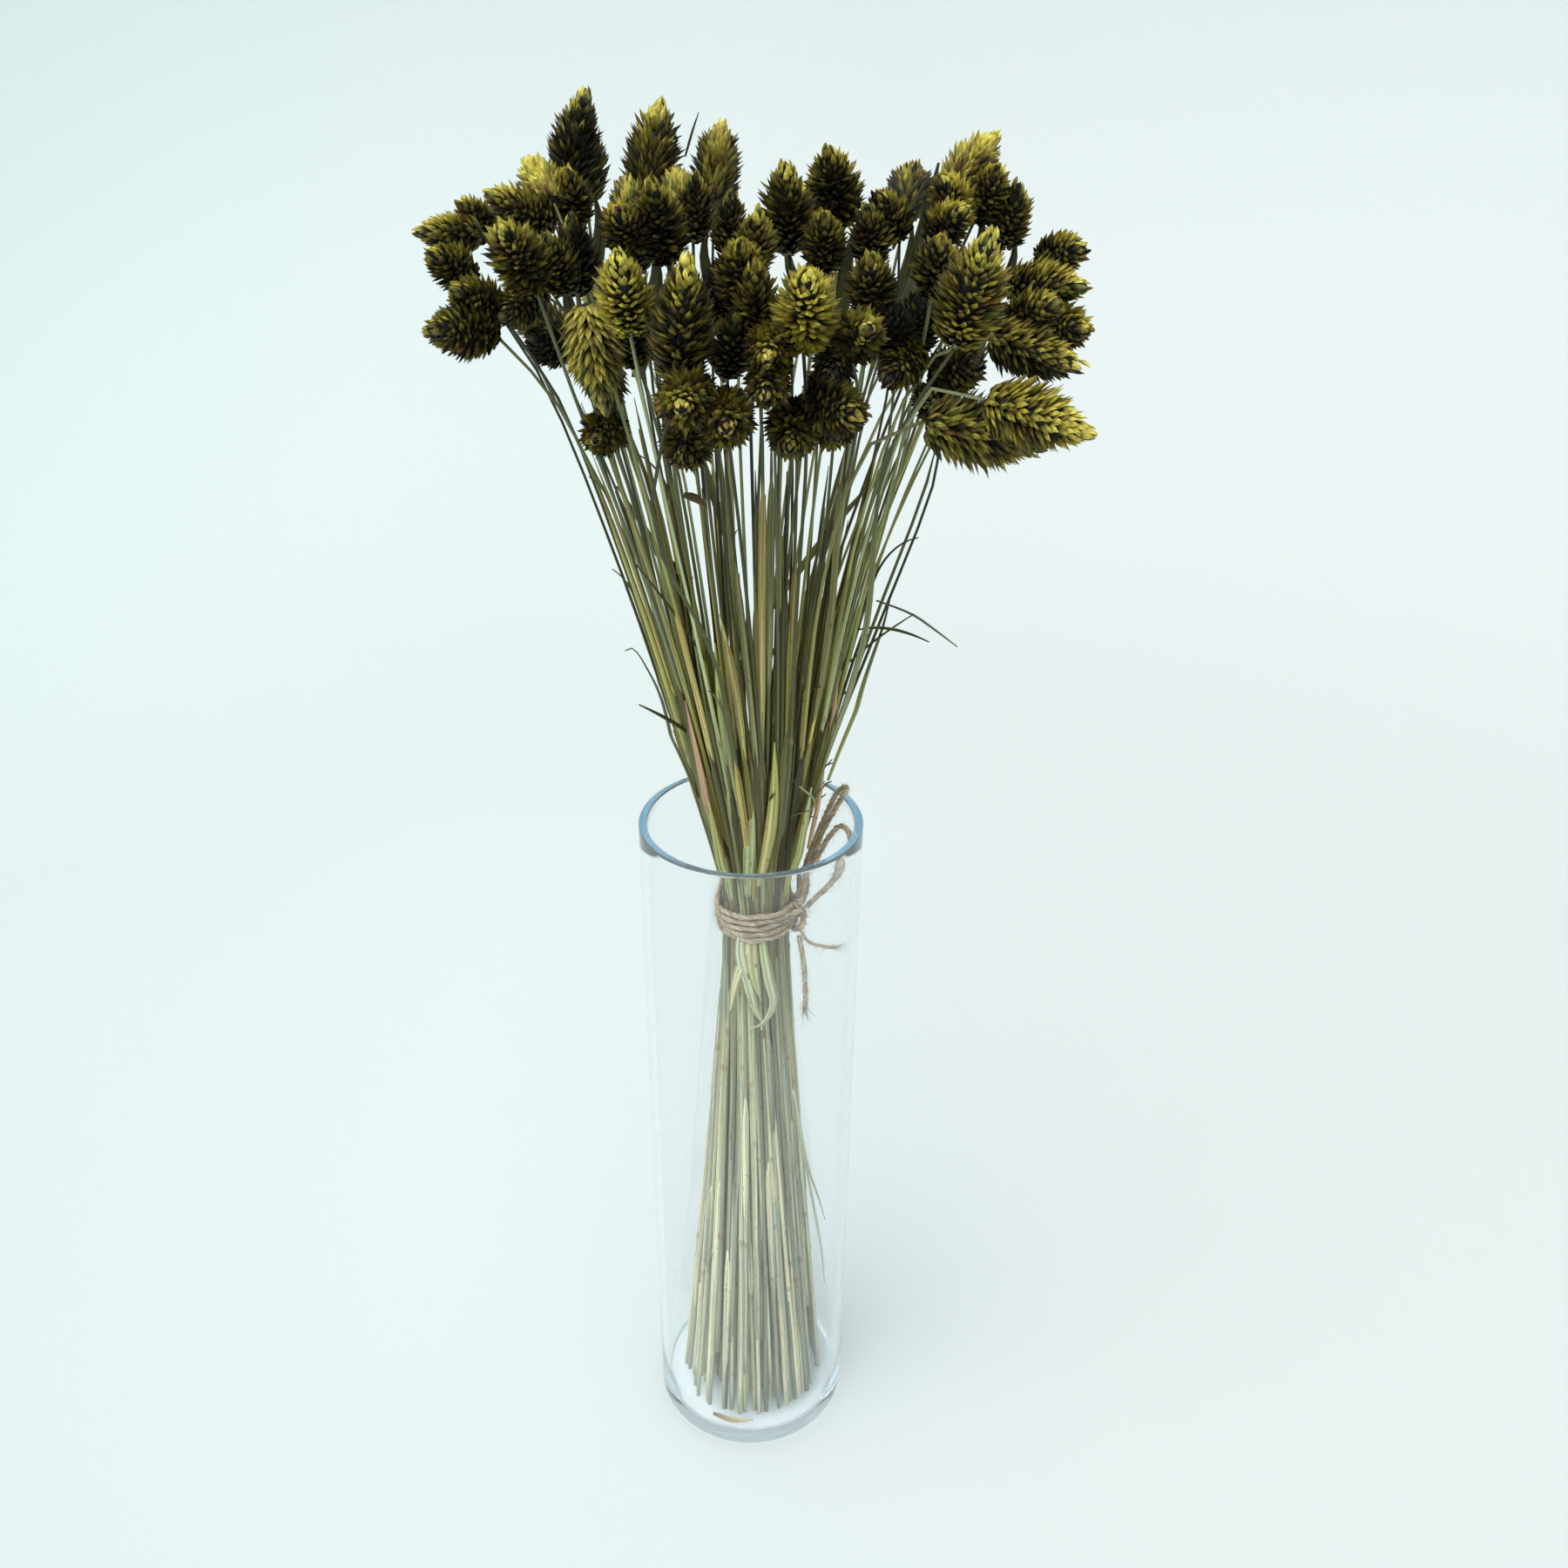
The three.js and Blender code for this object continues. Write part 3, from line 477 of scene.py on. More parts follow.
def fibre(heap, start, way, long, curl, radius):
    """One stray fibre: a bent hair of three sides that ends in a point."""
    t = np.linspace(0, 1, FIBRE["points"])[:, None]
    line = start + long * (way * t + curl * t ** 2)
    sections = rounds(radius * (1 - FIBRE["point"] * t[:, 0]), FIBRE["sides"])
    template, corners = bent_rod(line, sections, (0.31, 0.52, 0.8))
    colour = pick(JUTE_PAINT) * rng.uniform(*FIBRE["shades"])
    heap.add(template, corners, colour, grain_of(template, line, FIBRE["sides"], start[0]))


def fuzz(heap, line, thickness=1.0):
    """Stray fibres all along a cord, which lie back on it or stand off it."""
    first, second = carried(line, ASIDE)
    ahead = unit(np.gradient(line, axis=0))
    for _ in range(round(lengths(line)[-1] * FUZZ["per_mm"])):
        i = int(rng.integers(len(line)))
        turn = rng.uniform(0, 2 * math.pi)
        off = math.cos(turn) * first[i] + math.sin(turn) * second[i]
        start = line[i] + off * FUZZ["skin"] * thickness
        along = ahead[i] * rng.choice([-1, 1])
        way = unit(along + off * rng.uniform(*FUZZ["stand"]) + rng.normal(0, FUZZ["stray"], 3))
        curl = rng.normal(0, FUZZ["curl"], 3) + FUZZ["lift"] * off
        fibre(heap, start, way, rng.uniform(*FUZZ["long"]), curl, rng.uniform(*FUZZ["radius"]))


def fray(heap, line, count, long):
    """The loose fibres at the cut end of a cord."""
    way = unit(line[-1] - line[-4])
    for _ in range(count):
        start = line[-1] - way * rng.uniform(0, FRAY["back"]) + rng.normal(0, FRAY["across"], 3)
        spread = unit(way + rng.normal(0, FRAY["stray"], 3))
        reach = rng.uniform(*FRAY["long"]) * long
        fibre(heap, start, spread, reach, rng.normal(0, FRAY["curl"], 3), rng.uniform(*FRAY["radius"]))


# %% The loops and the long tail
TAIL_FRAY = {"count": 46, "long": 9}
rng = np.random.default_rng(11)
for name, line in BOW_LINES.items():
    free = name == "twine_tail"
    plies, hair = Heap(), Heap()
    lay_twine(plies, line)
    fuzz(hair, line)
    if free:
        fray(hair, line, **TAIL_FRAY)
    cord = plies.piece(name + "_plies", jute, "twine", name)
    hairs = hair.piece(name + "_fibres", jute, "twine")

# %% [markdown]
# ## The binding
# The same twine goes five times round the waist. Its ends are pulled through a knot at the right and one
# short frayed tail stands out to the side. It could be five rings, but a real winding climbs, so it is one
# helix.

# %% The route of the winding
WAIST = {"x": 2.4, "z": 304.0, "radius": 15.2, "height": 11.0}
WINDING = {"wrap": 17.5, "turns": 5, "pitch": 2.75, "from": -0.33, "points": 241}
KNOT = {
    "over": [(0, 0, 6.9), (0, 3.6, 4.8), (0.06, 4.6, 0), (0, 3.6, -4.8), (0, 0, -6.9)],
    "across": [(-0.3, 0.8, 4), (-0.05, 4.2, 5), (0.16, 3.6, 1), (0.34, 0.8, -2.5)],
    "root": (0, 2.5, -4),
}
SIDE_TAIL = [(25, -12, 295.4), (31.4, -14, 293.7), (37.5, -16, 294.4)]


def round_waist(turn, radius, z):
    return (WAIST["x"] + radius * math.cos(turn), radius * math.sin(turn), z)


def on_knot(turn, out, rise):
    return round_waist(WINDING["from"] + turn, WINDING["wrap"] + out, WAIST["z"] + rise)


def winding():
    """The helix of the winding. Waves in its width and its height leave it a little slack and uneven."""
    points = []
    for t in np.linspace(0, 1, WINDING["points"]):
        turn = WINDING["from"] + 2 * math.pi * WINDING["turns"] * t
        slack = 0.3 * math.sin(3 * turn + 5 * t) + 0.35 * math.sin(7.3 * turn)
        rise = (t - 0.5) * WINDING["turns"] * WINDING["pitch"] + 0.7 * math.sin(2.1 * turn + 1)
        points.append(round_waist(turn, WINDING["wrap"] + slack, WAIST["z"] + rise))
    return smooth_line(points, TWINE["step"])


print("one turn is", round(2 * math.pi * WINDING["wrap"]), "mm long")

# %% The binding
KNOT_THICK, TAIL_THICK = 1.15, 0.62
SIDE_FRAY = {"count": 26, "long": 7}
binding, binding_hair = Heap(), Heap()
side_tail = smooth_line([on_knot(*KNOT["root"]), *SIDE_TAIL], TWINE["step"])
routes = [
    (winding(), 1.0),
    (smooth_line([on_knot(*p) for p in KNOT["over"]], TWINE["step"]), KNOT_THICK),
    (smooth_line([on_knot(*p) for p in KNOT["across"]], TWINE["step"]), KNOT_THICK),
    (side_tail, TAIL_THICK),
]
for line, thickness in routes:
    lay_twine(binding, line, thickness)
    fuzz(binding_hair, line, thickness)
fray(binding_hair, side_tail, **SIDE_FRAY)
binding.piece("twine_winding", jute, "twine", "twine_binding")
binding_hair.piece("twine_winding_fibres", jute, "twine")

# %% [markdown]
# ## Where the heads are
# Each head is listed by its tip, its base and its width, as it is in the solids. Heads that touch would cut
# into each other, so the solids let them settle: those of one node press together and all others keep
# clear, mostly along the line of sight. The same settling is repeated here, so the fine heads land where
# the solids are.

# %% The heads
HEADS = {
    "left_far": [(-124, -5, 588, -103, 9, 586, 14), (-100, 8, 599, -92, 28, 586, 14)],
    "left_outer": [(-109, -30, 586, -99, -9, 575, 15)],
    "left_hanging": [
        (-99, -48, 577, -89, -23, 567, 16), (-105, -57, 566, -89, -29, 560, 18),
        (-85, -33, 564, -74, -8, 569, 15),
    ],
    "left_back": [
        (-95, 48, 560, -73, 38, 548, 16), (-81, 8, 551, -71, 29, 540, 15),
        (-99, 26, 560, -77, 22, 550, 16),
    ],
    "left_top": [
        (-89, -20, 604, -69, 0, 592, 16), (-82, 23, 613, -70, 3, 600, 15),
        (-64, -6, 609, -66, 15, 588, 16),
    ],
    "left_front": [
        (-75, -77, 601, -70, -51, 580, 18), (-65, -61, 598, -62, -42, 578, 15),
        (-57, -35, 596, -58, -22, 570, 16),
    ],
    "left_tall": [(-61, 25, 636, -69, 25, 604, 18), (-58, 42, 619, -62, 42, 594, 14)],
    "rear_left": [(-72, 77, 562, -56, 57, 550, 16), (-60, 87, 546, -46, 67, 536, 16)],
    "left_drooping": [(-53, -52, 526, -50, -23, 524, 16), (-48, -37, 533, -51, -27, 555, 14)],
    "left_long": [(-49, -64, 540, -54, -60, 575, 19), (-41, -56, 574, -36, -36, 553, 16)],
    "left_inner": [(-41, -23, 601, -41, -10, 577, 15)],
    "left_spire": [
        (-32, 32, 635, -38, 17, 602, 20), (-29, 29, 609, -26, 8, 595, 14), (-47, 25, 603, -44, 5, 584, 14),
    ],
    "front_bright": [(-36, -96, 596, -35, -80, 570, 17)],
    "front_left_top": [(-43, -62, 603, -41, -40, 589, 15), (-28, -52, 612, -25, -30, 586, 18)],
    "rear_middle": [(-38, 95, 562, -30, 73, 548, 17), (-18, 99, 560, -14, 77, 546, 16)],
    "middle_shaded": [(-18, -19, 611, -20, -7, 588, 14)],
    "front_bottom": [(-18, -89, 531, -20, -59, 536, 17)],
    "front_left": [
        (-16, -97, 595, -20, -87, 556, 20), (-18, -116, 554, -17, -83, 552, 19),
        (-4, -120, 550, -6, -87, 548, 18),
    ],
    "middle_spire": [(-12, 42, 624, -14, 23, 597, 18)],
    "middle_back": [(-7, 3, 603, -9, 16, 581, 14)],
    "middle_top": [
        (0, -54, 606, -3, -38, 585, 14), (-6, -40, 585, -7, -19, 563, 16), (3, -50, 580, 3, -34, 559, 14),
    ],
    "middle_front": [
        (-2, -80, 599, -4, -59, 579, 16), (8, -87, 594, 8, -73, 570, 14), (-4, -79, 573, -8, -64, 551, 15),
    ],
    "front_middle": [
        (21, -116, 595, 20, -91, 570, 19), (6, -111, 568, 8, -81, 569, 15),
        (7, -113, 556, 8, -87, 558, 14),
    ],
    "middle_tall": [(12, -25, 615, 14, -12, 585, 19)],
    "front_low": [(40, -106, 548, 24, -81, 549, 17), (12, -105, 540, 14, -74, 546, 17)],
    "right_spire": [(28, -3, 618, 33, 22, 591, 20), (18, 31, 603, 21, 11, 587, 14)],
    "middle_right": [(25, -48, 602, 26, -28, 583, 15)],
    "inner_low": [
        (20, -63, 548, 30, -39, 547, 14), (30, -77, 531, 29, -49, 535, 16),
        (29, -75, 557, 32, -50, 563, 14),
    ],
    "rear_right": [(22, 97, 556, 18, 75, 542, 17), (38, 93, 564, 30, 73, 552, 16)],
    "front_right": [(38, -108, 577, 33, -80, 567, 16)],
    "right_crest": [(39, -22, 601, 43, -6, 580, 15), (44, -14, 606, 54, 2, 590, 15)],
    "inner_right": [
        (43, -67, 552, 55, -43, 558, 15), (47, -54, 573, 52, -34, 552, 15),
        (41, -73, 595, 43, -52, 574, 16),
    ],
    "right_dark": [(61, 51, 609, 57, 26, 594, 17)],
    "inner_dark": [(60, -17, 574, 61, -2, 550, 16)],
    "right_front_top": [(61, -71, 598, 61, -51, 578, 15)],
    "right_shaded": [(71, -52, 604, 62, -31, 593, 14)],
    "right_under": [(78, -61, 560, 66, -37, 548, 17), (59, -55, 546, 69, -33, 535, 14)],
    "right_bright": [(64, -22, 611, 74, -2, 596, 15)],
    "right_big": [(72, -100, 603, 66, -86, 568, 21)],
    "rear_right_outer": [(74, 64, 570, 60, 50, 556, 17), (88, 54, 560, 74, 38, 550, 17)],
    "right_long": [(108, -106, 547, 76, -90, 554, 20), (98, -81, 534, 58, -75, 540, 23)],
    "right_tall": [
        (87, 30, 624, 68, 16, 605, 17), (86, -4, 611, 82, 19, 592, 16), (98, 5, 606, 96, 19, 583, 15),
    ],
    "right_side": [(100, -74, 580, 87, -54, 572, 14), (107, -78, 558, 79, -64, 565, 18)],
    "right_back": [(113, 22, 560, 89, 18, 552, 16)],
    "right_outer": [(114, -41, 582, 90, -22, 579, 17), (114, -51, 563, 100, -23, 562, 17)],
    "right_far": [(118, -11, 587, 106, 11, 581, 15)],
}

# %% The room between heads
SCALE_WIDEST = 0.42
BALLS = np.array([0.16, 0.36, 0.58, 0.8])


def head_shape(t):
    """How wide a head is from its base, 0, to its tip, 1, as a share of its widest."""
    t = np.asarray(t, float)
    low = np.sqrt(np.clip(1 - ((SCALE_WIDEST - t) / SCALE_WIDEST) ** 2, 0, 1))
    high = np.clip(np.cos((t - SCALE_WIDEST) / (1 - SCALE_WIDEST) * math.pi / 2), 0, 1) ** 0.8
    return np.where(t < SCALE_WIDEST, low, high)


head_node = [name for name, rows in HEADS.items() for _ in rows]
head_row = np.array([row for rows in HEADS.values() for row in rows], float)
head_home = (head_row[:, :3] + head_row[:, 3:6]) / 2
head_axis = unit(head_row[:, :3] - head_row[:, 3:6])
head_long = np.linalg.norm(head_row[:, :3] - head_row[:, 3:6], axis=1)
head_wide = head_row[:, 6]
ball_radius = head_wide[:, None] / 2 * head_shape(BALLS)
pair_a, pair_b = np.triu_indices(len(head_row), 1)
same_node = np.array([head_node[a] == head_node[b] for a, b in zip(pair_a, pair_b)])


def balls_at(centres):
    return centres[:, None] + (BALLS[:, None] - 0.5) * (head_axis * head_long[:, None])[:, None]


def room_between(balls, a, b):
    """The least room between two heads' balls, and the way from one to the other there."""
    ways = balls[b][:, None] - balls[a][:, :, None]
    far = np.linalg.norm(ways, axis=-1)
    room = (far - ball_radius[a][:, :, None] - ball_radius[b][:, None]).reshape(len(a), -1)
    least = room.argmin(1)
    pick = np.arange(len(a))
    return room[pick, least], unit(ways.reshape(len(a), -1, 3)[pick, least])


# %% Settling
SETTLE = {
    "rounds": 160, "near": 60, "clear": 0.9, "bite": 4.9, "play": 1.4, "give": 0.4, "home": 0.012,
    "sight": math.radians(28), "in_plane": 0.45, "neck": 2, "necks": (0.58, 0.85), "neck_give": 0.5,
}


def settled():
    """The heads' centres once they have settled."""
    centres = head_home.copy()
    room, _ = room_between(balls_at(centres), pair_a, pair_b)
    partner = np.zeros(len(pair_a), bool)
    for b in range(len(centres)):
        mine = np.flatnonzero((pair_b == b) & same_node)
        if len(mine):
            partner[mine[room[mine].argmin()]] = True
    sight = np.array([0, math.cos(SETTLE["sight"]), -math.sin(SETTLE["sight"])])

    def shift(moves, a, b, ways, amount):
        step = ways * amount[:, None]
        seen = (step @ sight)[:, None] * sight
        step = (step - seen) * SETTLE["in_plane"] + seen
        np.add.at(moves, a, step)
        np.add.at(moves, b, -step)

    for _ in range(SETTLE["rounds"]):
        balls = balls_at(centres)
        moves = (head_home - centres) * SETTLE["home"]
        close = np.linalg.norm(centres[pair_a] - centres[pair_b], axis=1) <= SETTLE["near"]
        a, b, together, pressed = pair_a[close], pair_b[close], same_node[close], partner[close]
        room, ways = room_between(balls, a, b)
        deep = SETTLE["bite"] + SETTLE["play"] / 2
        push = np.where(pressed, np.maximum(0, room + deep - SETTLE["play"]), 0)
        push = np.where(room < -deep, room + deep, push)
        push = np.where(together, push, np.minimum(0, room - SETTLE["clear"]))
        shift(moves, a, b, ways, push * SETTLE["give"])
        for bearer, other in ((a, b), (b, a)):
            for below in SETTLE["necks"]:
                neck = centres[bearer] - head_axis[bearer] * (below * head_long[bearer])[:, None]
                ways = balls[other] - neck[:, None]
                gap = np.minimum(0, np.linalg.norm(ways, axis=-1) - ball_radius[other] - SETTLE["neck"])
                for k in range(len(BALLS)):
                    shift(moves, bearer, other, unit(ways[:, k]), gap[:, k] * SETTLE["neck_give"])
        centres = centres + moves
    return centres


head_centre = settled()
head_moves = np.linalg.norm(head_centre - head_home, axis=1)
print("heads:", len(head_row), "moved by", np.round(head_moves.mean(), 2), "mm on average")

# %% [markdown]
# ## The husks
# A head of canary grass is packed with flat, keeled husks, each about 6 mm long, that overlap like the
# tiles of a roof. They are the look of the whole bunch. A bump on an ovoid would lose the ragged outline,
# so every husk is modelled: one small boat with a keel, made by extruding a square ring by ring and closing
# it at the tip. Its copies are set along a spiral round each head, so that no two rows line up.

# %% A husk
HUSK = {"long": 7.0, "wide": 2.2, "keel": 0.3, "arch": 0.16, "edge": 0.3}
HUSK_RINGS = [(0.0, 0.4), (0.32, 1.0), (0.66, 0.74)]
CURLS = [-0.06, 0.0, 0.05, 0.1, 0.16]


def grown_ring(bm, face):
    """Extrudes a face and gives the corners and the face of its new end."""
    grown = bmesh.ops.extrude_face_region(bm, geom=face)["geom"]
    ring = [g for g in grown if isinstance(g, bmesh.types.BMVert)]
    return ring, [g for g in grown if isinstance(g, bmesh.types.BMFace)]


def husk_template(curl):
    """A husk of length 1 and width 1: its edges at x, its keel towards y, its tip up."""
    bm = bmesh.new()
    bmesh.ops.create_circle(bm, cap_ends=True, segments=4, radius=0.5)
    bmesh.ops.scale(bm, vec=(1, HUSK["keel"] / 0.5, 1), verts=bm.verts)
    ring, face = list(bm.verts), list(bm.faces)
    wide = 1.0
    for place, (z, width) in enumerate(HUSK_RINGS):
        if place:
            ring, face = grown_ring(bm, face)
        middle = sum((v.co for v in ring), Vector()) / len(ring)
        forward = HUSK["arch"] * math.sin(math.pi * z) + curl * z * z
        bmesh.ops.translate(bm, vec=-middle, verts=ring)
        bmesh.ops.scale(bm, vec=(width / wide, width / wide, 1), verts=ring)
        bmesh.ops.translate(bm, vec=(0, forward, z), verts=ring)
        wide = width
    ring, _ = grown_ring(bm, face)
    bmesh.ops.pointmerge(bm, verts=ring, merge_co=(0, curl, 1))
    return Template(bm)


husks = [husk_template(curl) for curl in CURLS]
print("a husk has", len(husks[0].corners), "corners and", len(husks[0].starts), "faces")

# %% [markdown]
# ## Dressing the heads
# A husk's tip lies on the head's outline and its root inside it, nearer the stem's end, so the lowest husks
# spread and the highest stand up. Husks that face the sky are painted paler, towards straw yellow, as painted
# light from above, and those that face down or into the crown are painted darker, through olive and brown,
# as painted shade. That is paint on the husk, worked out from where it stands.

# %% The husks' colours
# Painted light and painted shade: a lit straw for husks that face the sky, a dark shade for those hidden or
# facing down, and a near black for the core.
LIT_STRAW, SHADE, CORE_SHADE = paint(226, 212, 92), paint(34, 28, 14), paint(14, 10, 6)
OLIVE, GREEN, BROWN = paint(146, 130, 44), paint(112, 118, 50), paint(122, 88, 44)
TINTS = [(0.58, OLIVE), (0.76, GREEN), (1.0, BROWN)]
# A share of paleness for some heads, row by row: painted light on some heads, painted shade on others, and each
# head's own tone besides.
HEAD_LIGHT_AND_TONE = {
    "front_bright": (0.5,), "front_middle": (0.45, 0, 0), "right_big": (0.15,), "right_long": (0.2, 0.1),
    "left_top": (0.1, 0.05, 0), "left_long": (0.25, 0), "middle_top": (0.3, -0.4, 0), "left_tall": (-0.35, 0.1),
    "left_front": (0, 0, -0.35), "inner_dark": (-0.5,), "inner_low": (0, 0, -0.5), "inner_right": (0, -0.45, 0),
    "left_back": (0, -0.35, 0), "left_spire": (-0.15, 0, 0), "middle_spire": (-0.15,), "right_dark": (-0.25,),
}
# Darkness along a husk from root to tip: painted shade at the root, where the husks overlap.
HUSK_ROOT_SHADE = ((0, 0.3, 0.64, 1), (0.1, 0.66, 1.3, 0.9))
EDGE_SHARE, EDGE_STRAW = 0.35, np.array([0.02, 0.016, 0.0])
CROWN_SHADE = {"up": 0.6, "halo": 3, "depth": 0.85}
TONE = {"dark": 0.19, "sky": 0.78, "own": 0.8, "mixed": 0.2, "tilt": 0.7, "level": 0.32}
TONE_STOPS = (0.0, 0.32, 0.85)
all_balls = balls_at(head_centre)


def openness(places, ways, index):
    """How little the other heads hide a husk: 1 in the open, towards 0 deep in the crown, where it gets painted
    shade.
    """
    others = np.delete(np.arange(len(head_centre)), index)
    balls, radii = all_balls[others].reshape(-1, 3), ball_radius[others].ravel()
    gap = balls[None] - places[:, None]
    far = np.linalg.norm(gap, axis=-1)
    lean = unit(ways + (0, 0, CROWN_SHADE["up"]))
    facing = np.clip(np.einsum("ijk,ik->ij", gap, lean) / far, 0, 1)
    hidden = (facing * np.clip((radii + CROWN_SHADE["halo"]) / far, 0, 1) ** 2).sum(1)
    return np.exp(-CROWN_SHADE["depth"] * hidden)


def husk_tones(index, outward, light):
    """How pale each husk of a head is: paler towards the sky, and by the head's own share in the photo."""
    name = head_node[index]
    own = HEAD_LIGHT_AND_TONE[name][index - head_node.index(name)] if name in HEAD_LIGHT_AND_TONE else 0.0
    # Painted light from above: a husk that faces the sky is painted paler.
    sky = np.clip(outward[:, 2] * TONE["tilt"] + TONE["level"], 0, 1)
    tone = TONE["dark"] + TONE["sky"] * sky * light + TONE["own"] * own
    return tone + rng.normal(0, TONE["mixed"], len(light))


def toned(tone, middle):
    """A husk's colour: from the painted shade through its own middle colour to lit straw, a painted light."""
    colours = np.array([SHADE, middle, LIT_STRAW])
    return np.array([np.interp(tone, TONE_STOPS, colours[:, k]) for k in range(3)])


def husk_paint(template, colour):
    """Painted shade at the root, where the husks overlap, pale along the edges, brown at the tip."""
    x, y, z = template.corners.T
    edge = np.abs(x) > HUSK["edge"]
    tone = np.interp(z, *HUSK_ROOT_SHADE) * (1 + EDGE_SHARE * edge)
    return colour * tone[:, None] + edge[:, None] * EDGE_STRAW


# %% The husks' tips
GOLDEN_TURN = math.pi * (3 - math.sqrt(5))
HUSK_SPACE = 5.4  # square millimetres of a head's skin for each husk
SPREAD = np.linspace(0, 1, 201)
TIPS = {"reach": (0.92, 1.2), "proud": 0.3, "top": 0.93, "top_reach": (0, 1.2), "stray": 0.14, "stray_out": 1.5,
        "stray_up": 0.03}


def husk_spots(index):
    """Where the husks of a head have their tips: along the head, and round it."""
    share = head_shape(SPREAD) + 0.12
    area = np.concatenate([[0], np.cumsum((share[1:] + share[:-1]) / 2 * (SPREAD[1] - SPREAD[0]))])
    skin = math.pi * head_wide[index] * head_long[index] * area[-1]
    count = int(skin / HUSK_SPACE)
    at = np.interp((np.arange(count) + 0.5) / count * area[-1], area, SPREAD)
    turn = np.arange(count) * GOLDEN_TURN + rng.normal(0, 0.07, count)
    return np.clip(0.03 + 1.02 * at + rng.normal(0, 0.012, count), 0.02, 1.06), turn


def husk_reach(index, tip_at):
    """How far the tips are from the head's axis, and their places along it: some stray out and up."""
    count = len(tip_at)
    reach = head_wide[index] / 2 * head_shape(np.clip(tip_at, 0.03, 0.985))
    reach = reach * rng.uniform(*TIPS["reach"], count) + TIPS["proud"]
    reach = np.where(tip_at > TIPS["top"], reach * rng.uniform(*TIPS["top_reach"], count), reach)
    stray = rng.random(count) < TIPS["stray"]
    reach = reach + stray * rng.uniform(0, TIPS["stray_out"], count)
    return reach, tip_at + stray * TIPS["stray_up"]


# %% The husks' roots and keels
ROOTS = {"long": (0.82, 1.12), "overlap": 0.72, "lowest": 0.03, "play": 0.02, "depth": 0.42}
HUSK_POSE = {"wide": (0.82, 1.15), "turned": 0.16, "outward": 1.6}


def husk_roots(index, tip_at, reach):
    """The roots' places along the head, below the tips, and their distance from its axis."""
    size = HUSK["long"] * rng.uniform(*ROOTS["long"], len(tip_at))
    lowest = ROOTS["lowest"] + ROOTS["play"] * rng.random(len(tip_at))
    root_at = np.maximum(tip_at - ROOTS["overlap"] * size / head_long[index], lowest)
    depth = head_wide[index] / 2 * head_shape(np.clip(root_at, 0.1, 0.8)) * ROOTS["depth"]
    return root_at, np.minimum(depth, np.sqrt(np.maximum(reach, 0.5)) * 2)


def husk_keels(radial, ahead):
    """The ways that the keels point: outwards and square to the husk, each turned a little."""
    level = radial - ahead * (radial * ahead).sum(1)[:, None]
    keel = unit(level + rng.normal(0, HUSK_POSE["turned"], radial.shape))
    return unit(keel - ahead * (keel * ahead).sum(1)[:, None])


# %% A dressed head
CORE_SHARE, CORE_SIDES = 0.62, 8


def core(heap, index, side):
    """The dark ovoid inside a head, painted shade that closes the gaps between its husks."""
    t = np.linspace(0.02, 0.97, 9)
    line = head_centre[index] + head_axis[index] * ((t - 0.5) * head_long[index])[:, None]
    radii = head_wide[index] / 2 * head_shape(t) * CORE_SHARE + 0.1
    template, corners = bent_rod(line, rounds(radii, CORE_SIDES), side)
    heap.add(template, corners, CORE_SHADE, grain_of(template, line, CORE_SIDES))


def dress_head(heap, index):
    """The husks of one head and its core. It returns how many husks there are."""
    axis, centre, long = head_axis[index], head_centre[index], head_long[index]
    side = unit(np.cross(axis, (0, 0, 1) if abs(axis[2]) < 0.9 else (1, 0, 0)))
    across = np.cross(axis, side)
    tip_at, turn = husk_spots(index)
    radial = np.cos(turn)[:, None] * side + np.sin(turn)[:, None] * across
    reach, tip_at = husk_reach(index, tip_at)
    root_at, depth = husk_roots(index, tip_at, reach)
    tips = centre + axis * ((tip_at - 0.5) * long)[:, None] + radial * reach[:, None]
    roots = centre + axis * ((root_at - 0.5) * long)[:, None] + radial * depth[:, None]
    ahead = unit(tips - roots)
    keel = husk_keels(radial, ahead)
    edge = np.cross(keel, ahead)
    stretch = np.linalg.norm(tips - roots, axis=1)
    wide = HUSK["wide"] * rng.uniform(*HUSK_POSE["wide"], len(turn))
    outward = unit(ahead + HUSK_POSE["outward"] * keel)
    light = openness(tips, outward, index)
    tone = husk_tones(index, outward, light)
    tint = rng.random(len(turn))
    for i in range(len(turn)):
        template = pick(husks)
        x, y, z = template.corners.T
        corners = roots[i] + edge[i] * (x * wide[i])[:, None] + keel[i] * (y * wide[i])[:, None]
        corners = corners + ahead[i] * (z * stretch[i])[:, None]
        middle = next(colour for share, colour in TINTS if tint[i] < share)
        # Painted shade: a husk that the other heads hide is painted darker.
        colour = toned(tone[i], middle) * (0.35 + 0.65 * light[i])
        heap.add(template, corners, husk_paint(template, colour), template.corners + i)
    core(heap, index, side)
    return len(turn)


# %% The seed heads
rng = np.random.default_rng(23)
husk_count = 0
for name in HEADS:
    heap = Heap()
    members = [index for index, bearer in enumerate(head_node) if bearer == name]
    husk_count += sum(dress_head(heap, index) for index in members)
    heap.piece("husks_" + name, husk, "seed_head", "heads_" + name, smooth=False)
print("husks:", husk_count)

# %% [markdown]
# ## The stems
# Each head has its own stem. It stands on the vase's floor, passes the waist in its own slot and bends out
# to its head. A stem could be drawn by hand as a curve, 86 times over. Here the solids' own rule is
# repeated: plan every stem, then bend the clashing ones clear of heads and of each other.

